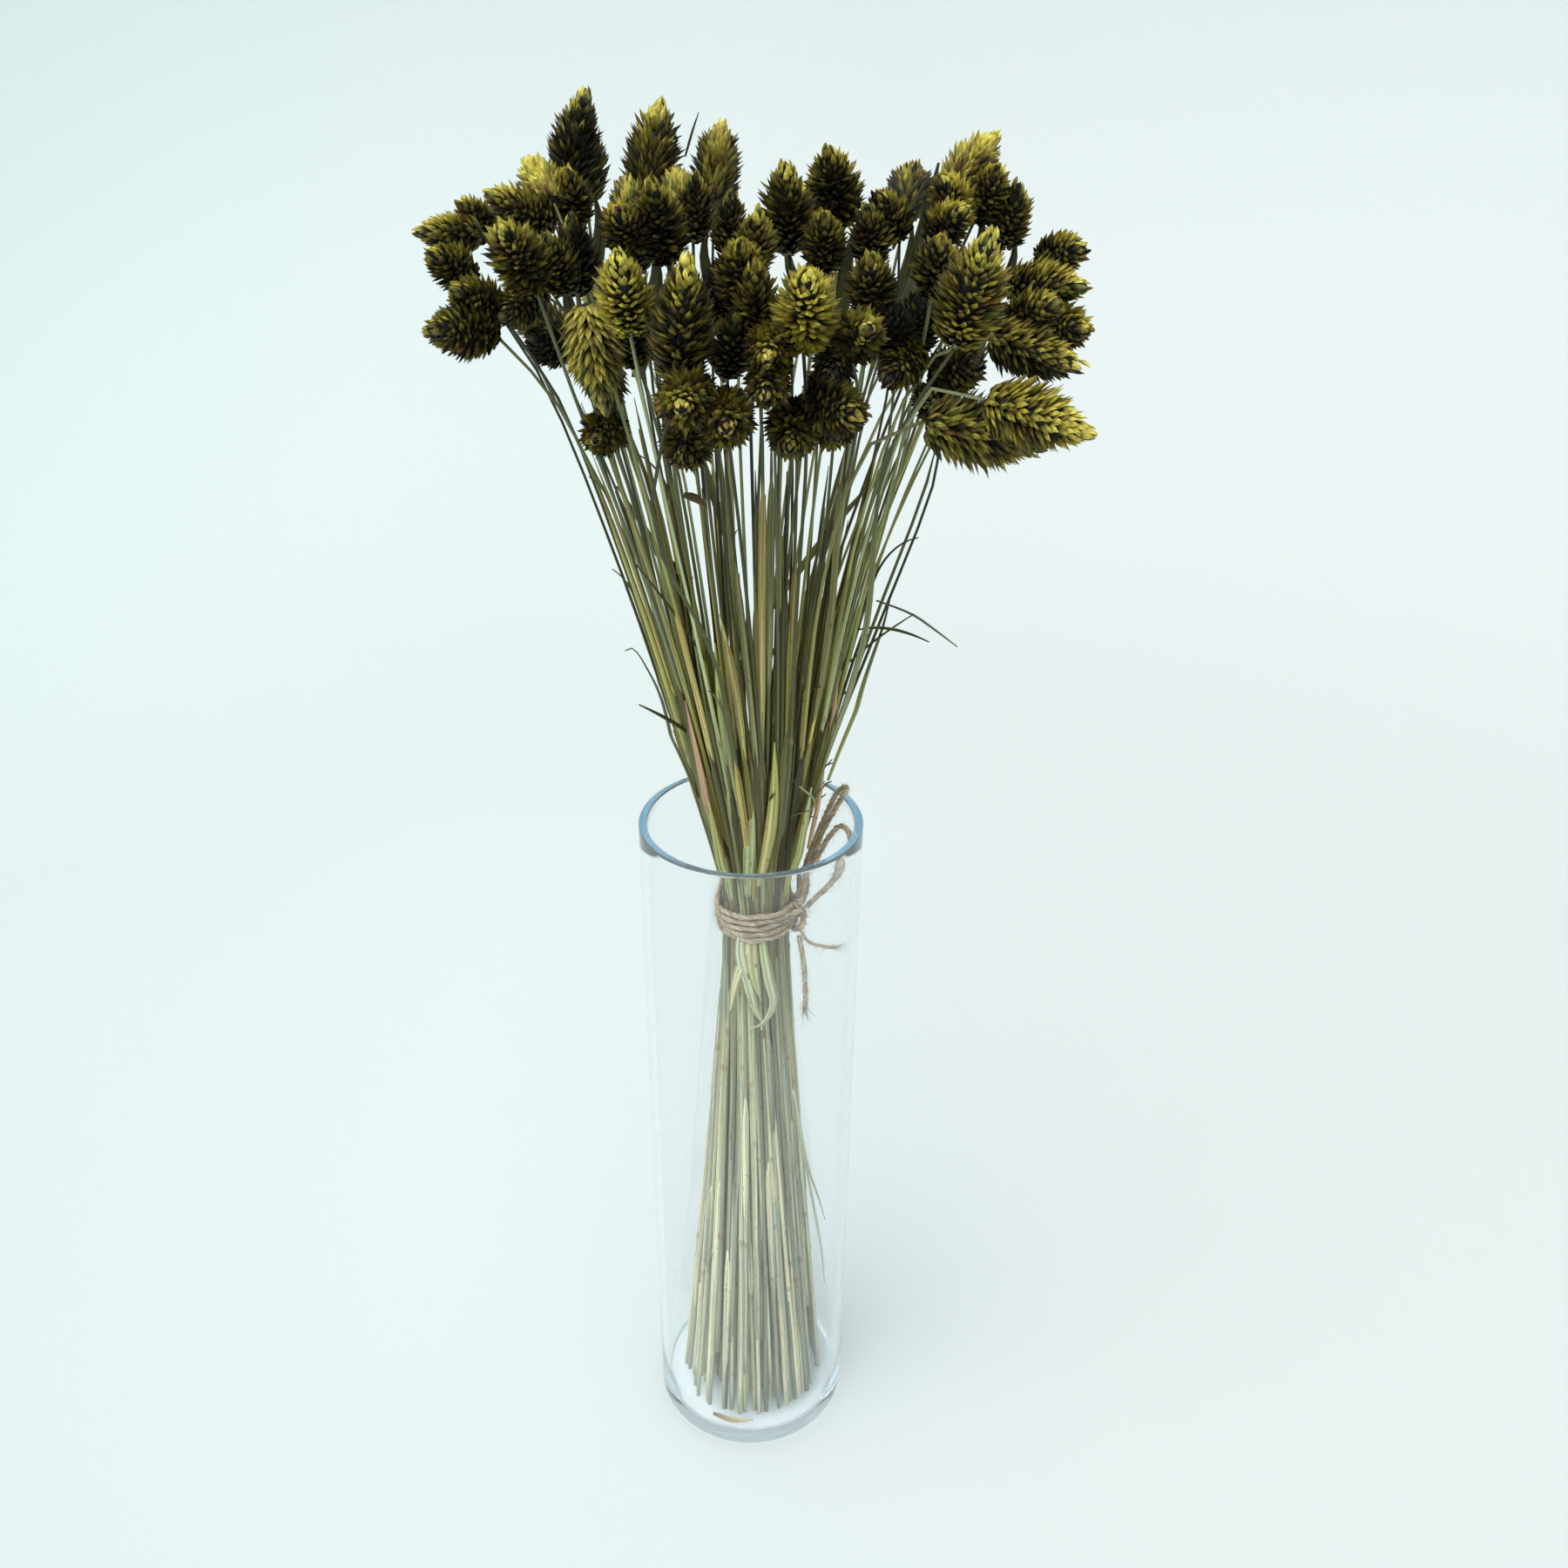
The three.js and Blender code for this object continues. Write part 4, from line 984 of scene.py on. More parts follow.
# %% The stems' lines
FLOOR_Z = 9.8
SHEAVES = 9
SLOTS = [(13.6, 4), (10.9, 3), (8.4, 2), (6.4, 1), (4.2, 1)]
SLOT_PITCH = 2.25
SPIRAL = 0.42
FLARE = {"power": 1.2, "share": 0.93, "play": 0.09, "turn": 0.05, "floor": 41}
BEND = {"start": 0.3, "arrive": 0.17, "lean": 0.22, "arch_below": 0.15, "clearance": 0.3}
NECK_STEPS = (0.25, 0.5, 0.75, 1)
ARCH_STEPS = (0.28, 0.56, 0.8, 0.92, 1)
WAIST_LOW = WAIST["z"] - WAIST["height"] / 2


def foot_point(height, radius, angle, index):
    down = 1 - height / (WAIST_LOW - FLOOR_Z)
    flare = down ** FLARE["power"] * (FLARE["share"] + FLARE["play"] * chance(index))
    spread = 1 + (FLARE["floor"] / WAIST["radius"] - 1) * flare
    turn = angle + down * (SPIRAL + FLARE["turn"] * (chance(index + 500) - 0.5))
    x, y, _ = round_waist(turn, radius * spread, 0)
    return np.array([x - WAIST["x"] * down, y, FLOOR_Z + height])


def planned():
    ends = head_centre - head_axis * (head_long / 2 + BEND["clearance"])[:, None]
    angle_of = np.arctan2(ends[:, 1], ends[:, 0] - WAIST["x"])
    reach = np.hypot(ends[:, 0] - WAIST["x"], ends[:, 1])
    order = sorted(range(len(ends)), key=lambda i: angle_of[i])
    plan = {}
    for sheaf in range(SHEAVES):
        first, past = (math.floor(k * len(order) / SHEAVES + 0.5) for k in (sheaf, sheaf + 1))
        outer_first = sorted(order[first:past], key=lambda i: -reach[i])
        middle = 2 * math.pi * (sheaf + 0.5) / SHEAVES - math.pi
        for radius, count in SLOTS:
            row, outer_first = sorted(outer_first[:count], key=lambda i: angle_of[i]), outer_first[count:]
            for k, index in enumerate(row):
                angle = middle + (k - (len(row) - 1) / 2) * SLOT_PITCH / radius
                points = [foot_point(h, radius, angle, index) for h in (0, WAIST_LOW - FLOOR_Z)]
                start = np.array(round_waist(angle, radius, WAIST_LOW + WAIST["height"]))
                reach_up = np.linalg.norm(ends[index] - start)
                up = BEND["start"] * reach_up
                lean = BEND["lean"] * radius / SLOTS[0][0] * up
                rise = start + (lean * math.cos(angle), lean * math.sin(angle), up)
                arrive = ends[index] - head_axis[index] * BEND["arrive"] * reach_up
                steps = ARCH_STEPS if head_axis[index, 2] < BEND["arch_below"] else NECK_STEPS
                bezier = [(1 - t) ** 3 * start + 3 * (1 - t) ** 2 * t * rise + 3 * (1 - t) * t * t * arrive
                          + t ** 3 * ends[index] for t in steps]
                plan[index] = {"sheaf": sheaf, "angle": angle, "slot": radius,
                               "points": np.array([*points, start, *bezier])}
    return plan


plan = planned()
print("stems:", len(plan))

# %% Bending clear
DODGE = {"rounds": 160, "head": 0.75 + 0.9, "stem": 2 * 1.05 + 0.8, "give": 0.35, "home": 0.006, "near": 25}


def shares_between(a0, a1, b0, b1):
    """The nearest points of two straight pieces, as shares along each."""
    u, v, w = a1 - a0, b1 - b0, a0 - b0
    uu, uv, vv = (u * u).sum(1), (u * v).sum(1), (v * v).sum(1)
    uw, vw = (u * w).sum(1), (v * w).sum(1)
    flat = uu * vv - uv * uv
    s = np.where(flat > 1e-9, np.clip((uv * vw - vv * uw) / np.maximum(flat, 1e-9), 0, 1), 0.5)
    t = np.clip((uv * s + vw) / vv, 0, 1)
    return np.clip((uv * t - uw) / uu, 0, 1)[:, None], t[:, None]


def dodge(plan):
    """Bends the stems clear of the heads that they pass and of other sheaves' stems, and says how far."""
    order = sorted(plan)
    first = np.cumsum([0] + [len(plan[i]["points"]) for i in order])
    home = np.vstack([plan[i]["points"] for i in order])
    at, low, owner, sheaf, last = home.copy(), [], [], [], []
    for place, i in enumerate(order):
        ends = range(first[place] + 2, first[place + 1] - 1)
        low += list(ends)
        owner += [i] * len(ends)
        sheaf += [plan[i]["sheaf"]] * len(ends)
        last += [k == first[place + 1] - 2 for k in ends]
    low, owner, sheaf, last = map(np.array, (low, owner, sheaf, last))
    balls, radii = all_balls.reshape(-1, 3), ball_radius.ravel()
    ball_owner = np.repeat(np.arange(len(head_centre)), len(BALLS))
    seg, ball = (g.ravel() for g in np.meshgrid(np.arange(len(low)), np.arange(len(balls)), indexing="ij"))
    keep = ~((ball_owner[ball] == owner[seg]) & last[seg])
    seg, ball = seg[keep], ball[keep]
    one, two = np.triu_indices(len(low), 1)
    keep = sheaf[one] != sheaf[two]
    one, two = one[keep], two[keep]

    def from_ball(seg, ball):
        a, along = at[low[seg]], at[low[seg] + 1] - at[low[seg]]
        share = np.clip(((balls[ball] - a) * along).sum(1) / (along * along).sum(1), 0, 1)[:, None]
        away = a + along * share - balls[ball]
        return share, away, radii[ball] + DODGE["head"] - np.linalg.norm(away, axis=1)

    def from_stem(one, two):
        a0, a1, b0, b1 = at[low[one]], at[low[one] + 1], at[low[two]], at[low[two] + 1]
        s, t = shares_between(a0, a1, b0, b1)
        away = a0 + (a1 - a0) * s - b0 - (b1 - b0) * t
        return s, t, away, DODGE["stem"] - np.linalg.norm(away, axis=1)

    keep = from_ball(seg, ball)[2] > -DODGE["near"]
    seg, ball = seg[keep], ball[keep]
    keep = from_stem(one, two)[3] > -DODGE["near"]
    one, two = one[keep], two[keep]
    free = np.ones(len(at), bool)
    for place in range(len(order)):
        free[[*range(first[place], first[place] + 3), first[place + 1] - 1]] = False
    for _ in range(DODGE["rounds"]):
        moves = np.zeros_like(at)

        def push(which, share, step):
            np.add.at(moves, low[which], step * (1 - share))
            np.add.at(moves, low[which] + 1, step * share)

        share, away, deep = from_ball(seg, ball)
        push(seg, share, unit(away) * (np.maximum(deep, 0) * DODGE["give"])[:, None])
        s, t, away, deep = from_stem(one, two)
        step = unit(away) * (np.maximum(deep, 0) * DODGE["give"])[:, None]
        push(one, s, step)
        push(two, t, -step)
        at[free] += (moves + (home - at) * DODGE["home"])[free]
    for place, i in enumerate(order):
        plan[i]["points"] = at[first[place]:first[place + 1]]
    return np.linalg.norm(at - home, axis=1).max()


print("a stem bends aside by", round(float(dodge(plan)), 1), "mm at most")

# %% [markdown]
# ## Stalks and sheaths
# A grass stem is a thin culm with a swollen joint every hand's breadth. Each joint carries a leaf whose
# lower part, the sheath, wraps the culm and whose blade parts from it. The photo's sheaf is mostly sheaths:
# pale green, straw and a few pink ones, wider than the culms. Both follow the stem's line: the culm with
# round sections, the sheath with crescent ones. Broken stems without a head fill the sheaf, as in a real
# bunch.

# %% A culm
STEM = {
    "radius": ((10, 304, 400, 470, 560), (1.12, 1.0, 0.8, 0.64, 0.54)), "sides": 8, "rings": 28,
    "joints": (0.17, 0.4, 0.66), "joint_play": 22, "joint": 0.42, "joint_long": 1.6, "broken_taper": 14,
}
JOINT_RINGS = (-2.4, -0.9, 0.9, 2.4)
STALK_UP = [
    paint(146, 150, 84), paint(164, 162, 92), paint(120, 116, 52), paint(178, 166, 88), paint(96, 98, 52),
    paint(156, 162, 120), paint(132, 126, 58), paint(70, 68, 36),
]
STALK_DOWN = [
    paint(228, 226, 194), paint(206, 210, 182), paint(238, 230, 196), paint(178, 184, 162),
    paint(150, 156, 138),
]
JOINT, NECK_PAINT = paint(150, 122, 78), paint(100, 104, 78)
GREENING = {"from": 150, "over": 260, "power": 0.8}
NECK = {"from": 430, "over": 90, "share": 0.7}
JOINT_SHARE = 0.7
GRAIN_PLAY = 60


def culm_paint(z, up, down, bump):
    """The paint at heights z: straw low down, green above, dull at the neck and brown at the joints."""
    green = np.clip((z - GREENING["from"]) / GREENING["over"], 0, 1) ** GREENING["power"]
    tone = (down * (1 - green) + up * green) * (1 - JOINT_SHARE * bump) + JOINT * JOINT_SHARE * bump
    neck = NECK["share"] * np.clip((z - NECK["from"]) / NECK["over"], 0, 1)
    return tone * (1 - neck) + NECK_PAINT * up.mean() / STALK_UP[1].mean() * neck


def culm(heap, line, up, down, thick, broken):
    """One culm: a round rod that thins upwards, with three joints. A broken one ends in a point."""
    total = lengths(line)[-1]
    joints = np.array(STEM["joints"]) * total + rng.uniform(-STEM["joint_play"], STEM["joint_play"], 3)
    rings = [np.linspace(0, total, STEM["rings"]), (joints[:, None] + JOINT_RINGS).ravel()]
    places = np.sort(np.concatenate(rings))
    points = at_lengths(line, places)
    base = np.interp(points[:, 2], *STEM["radius"]) * thick
    if broken:
        base = base * np.clip((total - places) / STEM["broken_taper"], 0.15, 1) ** 0.7
    bump = np.exp(-((places[:, None] - joints) / STEM["joint_long"]) ** 2).sum(1)
    sections = rounds(base * (1 + STEM["joint"] * bump), STEM["sides"])
    template, corners = bent_rod(points, sections, (1, 0.2, 0))
    grain = grain_of(template, points, STEM["sides"], rng.uniform(0, GRAIN_PLAY))
    tone = culm_paint(points[:, 2:], up, down, bump[:, None])
    heap.add(template, corners, tone[template.ring], grain)


print("a culm is", [2 * radius for radius in STEM["radius"][1]], "mm thick from its foot to its neck")

# %% Ribbons
STRAP_WALL = 0.35
STRAP_ACROSS = np.array([1, 0.55, -0.55, -1, -0.92, -0.5, 0.5, 0.92])
STRAP_HIGH = np.array([0, 1, 1, 0, 0, 1, 1, 0])
STRAP_INSIDE = np.array([0, 0, 0, 0, 1, 1, 1, 1])


def strap(widths, depths):
    """Crescent sections: convex outside, a thin wall, the given half widths and depths."""
    across = np.asarray(widths)[:, None] * STRAP_ACROSS
    high = np.asarray(depths)[:, None] * STRAP_HIGH - STRAP_WALL * STRAP_INSIDE
    return np.stack([across, high], -1)


def ribbon(heap, line, widths, depths, outward, colours):
    """A sheath or a blade: crescent sections along a line, painted from its root to its tip."""
    ahead = unit(line[1] - line[0])
    template, corners = bent_rod(line, strap(widths, depths), np.cross(outward, ahead))
    t = np.linspace(0, 1, len(line))
    stops = np.linspace(0, 1, len(colours))
    tone = np.stack([np.interp(t, stops, [c[k] for c in colours]) for k in range(3)], 1)
    grain = grain_of(template, line, len(STRAP_ACROSS), rng.uniform(0, GRAIN_PLAY))
    heap.add(template, corners, tone[template.ring], grain)


# %% A sheath and its blade
SHEATHS = [
    (paint(172, 178, 136), paint(146, 150, 104)), (paint(158, 160, 116), paint(128, 126, 76)),
    (paint(188, 182, 118), paint(150, 138, 74)), (paint(146, 140, 88), paint(104, 96, 48)),
    (paint(202, 186, 126), paint(162, 142, 76)), (paint(128, 120, 84), paint(88, 78, 48)),
    (paint(98, 94, 60), paint(70, 64, 36)),
]
SHEATH = {"points": 14, "root": 0.7, "opens": 0.25, "closes": 0.16, "clear": 0.25, "shades": (0.72, 1.2)}
BLADE = {"points": 9, "off": 0.7, "lean": 0.42, "droop": 0.35, "wide": 0.8, "point": 0.18, "fold": 0.35}
BLADE_TIP = paint(64, 66, 40)


def parted_blade(heap, points, outward, long, width, colour, tone):
    """The blade at a sheath's upper end: it leans out, droops and narrows to a point."""
    way = unit(points[-1] - points[-3])
    lean = unit(outward + rng.normal(0, 0.5, 3) * (1, 1, 0.2))
    u = np.linspace(0, 1, BLADE["points"])[:, None]
    line = points[-2] + outward * BLADE["off"] + way * long * u + lean * long * BLADE["lean"] * u ** 2
    line = line - np.array([0, 0, 1]) * long * rng.uniform(0, BLADE["droop"]) * u ** 3
    narrow = np.clip(width * BLADE["wide"] * (1 - u[:, 0]) ** 0.7, BLADE["point"], None)
    ribbon(heap, line, narrow, narrow * BLADE["fold"], outward, [colour * tone, colour * 0.7, BLADE_TIP])


def sheath(heap, line, low, long, width, colours, blade=0):
    """A sheath round a stem, from a length along it, with a blade of the given length."""
    points = at_lengths(line, np.linspace(low, low + long, SHEATH["points"]))
    outward = unit(points[3] * (1, 1, 0) - (WAIST["x"], 0, 0) + rng.normal(0, 1.5, 3) * (1, 1, 0))
    t = np.linspace(0, 1, SHEATH["points"])
    radius = np.interp(points[:, 2], *STEM["radius"])
    root = SHEATH["root"] * radius
    grown = np.clip(t / SHEATH["opens"], 0, 1)
    closing = np.clip((1 - t) / SHEATH["closes"], 0, 1) ** 0.6
    widths = (root + (width + SHEATH["clear"] - root) * grown ** 0.7) * (0.1 + 0.9 * closing)
    depths = radius * (0.6 + 0.4 * grown) + 0.3 * grown
    tone = rng.uniform(*SHEATH["shades"])
    ribbon(heap, points + outward * 0.05, widths, depths, outward, [c * tone for c in colours])
    if blade:
        parted_blade(heap, points, outward, blade, width, colours[1], tone)


# %% Sway and shade
TONES = (0.42, 0.76, 1.1, 1.45, 1.8)
DOWN_SHADES = (0.64, 0.88, 1.02, 1.14, 1.26)
HEART_TO_RIM = (4, 13)
WHOLE = {"broken": False, "sway": (4.2, 2), "thick": (0.88, 1.12), "shade": (0.5, 1.1)}
BROKEN = {
    "broken": True, "sway": (8, 5), "thick": (0.85, 1.15), "shade": (0.5, 1.0), "foot": (-40, 48),
    "short": (375, 450), "tall": (440, 535), "short_share": 0.45,
}
SWAY = {"below_waist": 6, "over": 280, "bow": 1.2, "power": 1.3}
stem_lines = {i: smooth_line(stem["points"], 5) for i, stem in plan.items()}


def swayed(line, across, inward):
    """The line with its part below the waist led a little aside and inward, most at the foot."""
    down = np.clip((WAIST_LOW - SWAY["below_waist"] - line[:, 2]) / SWAY["over"], 0, 1)[:, None]
    out = unit(line * (1, 1, 0) - (WAIST["x"], 0, 0))
    bow = rng.uniform(-SWAY["bow"], SWAY["bow"]) * np.sin(math.pi * down)
    aside = np.cross((0, 0, 1), out) * (rng.uniform(-across, across) * down ** SWAY["power"] + bow)
    return line + aside - out * rng.uniform(0, inward) * down


def inner_shade(slot, kind):
    """Culms are painted darker towards the heart of the bunch, as shade, and no two are quite alike."""
    return np.interp(slot, HEART_TO_RIM, kind["shade"]) * pick(TONES)


def add_culm(heap, line, shade, kind):
    up, down = pick(STALK_UP) * shade, pick(STALK_DOWN) * rng.choice(DOWN_SHADES)
    culm(heap, line, up, down, rng.uniform(*kind["thick"]), kind["broken"])


def whole_culms(heap, members):
    """The culms that bear heads. Each one's line and slot are returned for its sheaths."""
    lines = []
    for i in members:
        shade = inner_shade(plan[i]["slot"], WHOLE)
        line = swayed(stem_lines[i], *WHOLE["sway"])
        add_culm(heap, line, shade, WHOLE)
        lines.append((line, plan[i]["slot"]))
    return lines


# %% Broken culms
BETWEEN_STEMS = {"inside": (0.38, 0.62), "across": (0.3, 0.7), "across_inner": (0.5,), "inner": 9, "play": 0.06}


def broken_pairs(members, following):
    """The pairs of stems that a broken one stands between, in a sheaf and on its border with the next."""
    pairs = [(one, two, rng.uniform(*BETWEEN_STEMS["inside"])) for one, two in zip(members, members[1:])]
    for radius, _ in SLOTS[:3]:
        last = [i for i in members if plan[i]["slot"] == radius][-1]
        first = [i for i in following if plan[i]["slot"] == radius][0]
        shares = BETWEEN_STEMS["across" if radius > BETWEEN_STEMS["inner"] else "across_inner"]
        play = BETWEEN_STEMS["play"]
        pairs += [(last, first, share + rng.uniform(-play, play)) for share in shares]
    return pairs


def between(one, two, share, low, top):
    """A broken stem's line: it runs between two others, from one height up to another."""
    heights = np.linspace(low, top, 90)
    first, second = (
        np.stack([np.interp(heights, line[:, 2], line[:, k]) for k in range(3)], 1)
        for line in (stem_lines[one], stem_lines[two])
    )
    return first * share + second * (1 - share)


def broken_culms(heap, pairs):
    """The culms that broke or were cut, some with their foot above the floor."""
    lines = []
    for one, two, share in pairs:
        low = FLOOR_Z + max(0, rng.uniform(*BROKEN["foot"]))
        top = rng.uniform(*BROKEN["short" if rng.random() < BROKEN["short_share"] else "tall"])
        line = swayed(between(one, two, share, low, top), *BROKEN["sway"])
        slot = (plan[one]["slot"] + plan[two]["slot"]) / 2
        add_culm(heap, line, inner_shade(slot, BROKEN), BROKEN)
        lines.append((line, slot))
    return lines


# %% The sheaths of a culm
SHEATH_AT = {"waist": (-46, 8), "above": (60, 120), "foot": (5, 190)}
SHEATH_WIDE = {"waist": (1.2, 2.5), "above": (0.95, 1.35), "foot": (1.2, 1.9)}
SHEATH_LONG = {"upper": (58, 135), "foot": (35, 100), "least": 25, "below_head": 12}
LIKELY = {"waist": 0.85, "waist_inner": 0.5, "above": 0.4, "foot": 0.5, "blade": 0.1}
BLADE_LONG = (10, 30)


def clad(heap, line, slot):
    """The sheaths of one culm: at the waist, above it and near the foot, each there or not by chance."""
    waist_at = np.interp(WAIST["z"], line[:, 2], lengths(line))
    total = lengths(line)[-1]
    for where, low in [(where, rng.uniform(*SHEATH_AT[where])) for where in ("waist", "above")]:
        inner = where == "waist" and slot <= BETWEEN_STEMS["inner"]
        if rng.random() > LIKELY["waist_inner" if inner else where]:
            continue
        long = min(rng.uniform(*SHEATH_LONG["upper"]), total - waist_at - low - SHEATH_LONG["below_head"])
        if long < SHEATH_LONG["least"]:
            continue
        colours = pick(SHEATHS)
        blade = rng.uniform(*BLADE_LONG) if rng.random() < LIKELY["blade"] else 0
        sheath(heap, line, waist_at + low, long, rng.uniform(*SHEATH_WIDE[where]), colours, blade)
    if rng.random() < LIKELY["foot"]:
        low = rng.uniform(*SHEATH_AT["foot"])
        colours = (pick(STALK_DOWN), pick(STALK_DOWN))
        long = rng.uniform(*SHEATH_LONG["foot"])
        sheath(heap, line, low, long, rng.uniform(*SHEATH_WIDE["foot"]), colours)


# %% The sheaves
rng = np.random.default_rng(31)
sheaf_members = [[i for i in plan if plan[i]["sheaf"] == sheaf] for sheaf in range(SHEAVES)]
culm_count = 0
for sheaf, members in enumerate(sheaf_members):
    culms, sheaths = Heap(), Heap()
    lines = whole_culms(culms, members)
    lines += broken_culms(culms, broken_pairs(members, sheaf_members[(sheaf + 1) % SHEAVES]))
    culms.piece(f"culms_{sheaf + 1}", stalk, "stalk", f"stems_{sheaf + 1}")
    for line, slot in lines:
        clad(sheaths, line, slot)
    sheaths.piece(f"sheaths_{sheaf + 1}", stalk, "stalk")
    culm_count += len(lines)
print("culms:", culm_count, "of which broken:", culm_count - len(plan))

# %% [markdown]
# ## Leaves and scraps
# Some leaves have parted from their sheaths and bend away, and torn bits hang under the tie or lie on the
# vase's floor. They break the sheaf's outline, so they are worth placing one by one. Dark leaves, painted dark
# as shade, also stand among the heads, where they close the view through the crown. A leaf could be a bare
# plane, but a real one is folded along its middle, which is what catches the light, so it has the sheath's
# crescent section.

# %% Where the leaves are
LEAF_PAINT = {
    "moss": paint(104, 104, 48), "ash": paint(104, 106, 96), "pink": paint(202, 160, 134),
    "rose": paint(176, 138, 104), "pale": paint(186, 194, 146), "sap": paint(176, 176, 92),
    "dark": paint(52, 50, 26), "scrap": paint(204, 206, 180), "rust": paint(128, 88, 46),
    "straw": paint(214, 204, 150),
}
# node of heads, which head, share of the neck, tip, bow, width, share of the leaf that is left
LEAVES = [
    ("right_crest", 1, 0.82, (66, 4, 613), 2, 7, 1),
    ("right_under", 0, 0.42, (76, -40, 470), 8, 2.6, 0.75),
    ("inner_right", 0, 0.5, (68, -44, 452), 6, 2.4, 1),
    ("left_drooping", 0, 0.34, (-62, -50, 436), 7, 3.2, 0.6),
    ("left_long", 1, 0.5, (-46, -62, 497), 4, 4, 0.8),
    ("rear_right", 1, 0.5, (66, 58, 500), 8, 3.4, 0.8),
    ("rear_left", 1, 0.45, (-60, 66, 478), 8, 5, 1),
    ("middle_back", 0, 0.55, (-32, 58, 520), 6, 4, 1),
]
# line, half width, how far it stands out, paint at its root and at its tip
LOOSE = [
    ([(-22.6, -10, 366), (-25.1, -12, 390), (-29.3, -15, 415), (-33.4, -17, 427), (-39.7, -20, 439),
      (-42.4, -20, 438)], 1.7, 7, "moss", "ash"),
    ([(33, -8, 374), (35.2, -8, 388), (40.3, -12, 418), (43.3, -14, 431), (47.8, -16, 448), (50, -17, 460)],
     2.6, 5, "sap", "dark"),
    ([(49.5, -17, 458), (57.3, -22, 456), (67.2, -28, 451), (75.5, -32, 446)], 0.9, 5, "ash", "ash"),
    ([(-4.8, -17, 352), (-6.7, -20, 390), (-9.7, -25, 420), (-11.3, -30, 446)], 2.8, 4, "pale", "sap"),
    ([(-11, -16, 340), (-15.5, -18, 376.5), (-18.8, -19, 397), (-22.2, -20, 417)], 2.3, 5, "rose", "pink"),
    ([(27.6, -16, 374), (31.7, -17, 405), (33.6, -18, 424)], 2.2, 2, "rose", "pink"),
    ([(25, -16, 345), (28.4, -16, 372), (30.6, -16, 394)], 1.8, 1, "pink", "rose"),
    ([(3.6, -17, 325), (7.1, -19, 352), (9.2, -22, 379), (9.1, -26, 402)], 2.6, 4, "straw", "sap"),
    ([(-1, -18, 322), (0.5, -21, 356), (0.4, -23, 384)], 2.6, 3.5, "pale", "pale"),
    ([(-8, -18, 320), (-11, -19, 345), (-14.6, -21, 372)], 2.2, 4, "pale", "sap"),
    ([(15, -17, 322), (19.5, -19, 352), (23, -20, 378)], 2.2, 4, "sap", "pale"),
    ([(11.6, -17, 388.5), (16, -19, 380), (23.3, -22, 373), (22.2, -24, 371), (12.5, -24, 367)],
     0.5, 6, "pale", "moss"),
    ([(25.4, -15, 360), (22.5, -14, 361)], 0.7, 5, "moss", "dark"),
    ([(50.9, 0, 585), (57.3, 0, 600), (63.4, 0, 610)], 2.6, 0, "moss", "dark"),
    ([(-25, 32, 612), (-22, 32, 621), (-19.7, 32, 627)], 0.5, 0, "ash", "ash"),
    ([(-23, -40, 506), (-18.4, -38, 504), (-14.8, -36, 500)], 1.6, 0, "dark", "rust"),
    ([(-4, -16, 302), (-4.3, -18.5, 293), (-0.4, -21, 276), (2.8, -22, 263), (6.7, -23, 256)],
     3.0, 0, "scrap", "pale"),
    ([(5, -16, 302), (6, -18, 293), (8.5, -21.5, 280), (10.5, -23, 268), (5.5, -23, 257), (-1, -22, 253)],
     2.4, 0, "pale", "scrap"),
    ([(-1, -16, 302), (-2, -18, 293), (-6, -20.5, 280), (-9, -21, 262)], 2.3, 0, "scrap", "straw"),
    ([(1, -16, 302), (1, -18, 293), (2, -21.5, 284), (5, -22.5, 270)], 2.6, 0.8, "straw", "pale"),
    ([(-18.7, -36.4, 10.4), (-8, -40.4, 10.7), (2, -39.8, 10.5)], 1.5, 0, "rust", "straw"),
    ([(20, -17, 214), (28, -20, 167), (32.5, -20.4, 150), (36.1, -20, 134)], 0.9, 0, "scrap", "scrap"),
    ([(25, -21, 180), (31.7, -23, 137.5), (34.6, -23, 115), (36.5, -22, 92.5)], 0.8, 0, "scrap", "scrap"),
]
# Places in the crown where leaves painted dark as shade close the view through it.
BETWEEN_HEADS = [
    (-37, 35, 571), (-19, 40, 577), (14, 35, 574), (60, 35, 578), (-71, 30, 561), (36, 30, 577), (-58, 35, 588),
    (-30, 38, 566), (24, 36, 566), (86, 28, 584), (87, 15, 548), (97, 20, 577),
]
print("leaves:", len(LEAVES), "loose ones:", len(LOOSE), "between heads:", len(BETWEEN_HEADS))

# %% A leaf
LEAF = {"points": 16, "least": 0.12, "fold": 0.35, "middle": 0.45}
SHADE_LEAF = {"below": 34, "pull": 0.9, "half": (2.6, 3.8), "shades": (0.45, 0.3)}


def leaf(heap, line, half, colours, outward):
    """A leaf along a line: widest at its middle, pointed, folded along its length."""
    t = np.linspace(0, 1, len(line))
    widths = half * np.maximum(LEAF["least"], np.sin(math.pi * np.clip(0.2 + 0.77 * t, 0, 0.96)))
    ribbon(heap, line, widths, LEAF["fold"] * widths, np.asarray(outward, float), colours)


def quadratic(root, middle, tip, count):
    """A curve from the root to the tip that the middle point pulls aside."""
    t = np.linspace(0, 1, count)[:, None]
    return (1 - t) ** 2 * root + 2 * (1 - t) * t * middle + t ** 2 * tip


def parted_leaf(heap, name, member, along, tip, bow, width, left):
    """A leaf that grows from the neck of a head's stem."""
    bearer = plan[head_node.index(name) + member]
    neck = smooth_line(bearer["points"][2:], 2)
    root = neck[round(along * (len(neck) - 1))]
    middle = root + (np.array(tip) - root) * LEAF["middle"] + (0, 0, bow)
    whole = quadratic(root, middle, np.array(tip), LEAF["points"])
    colours = [LEAF_PAINT["moss"], LEAF_PAINT["dark"]]
    leaf(heap, whole[:round(LEAF["points"] * left)], width / 2, colours, (0.2, -0.3, 1))


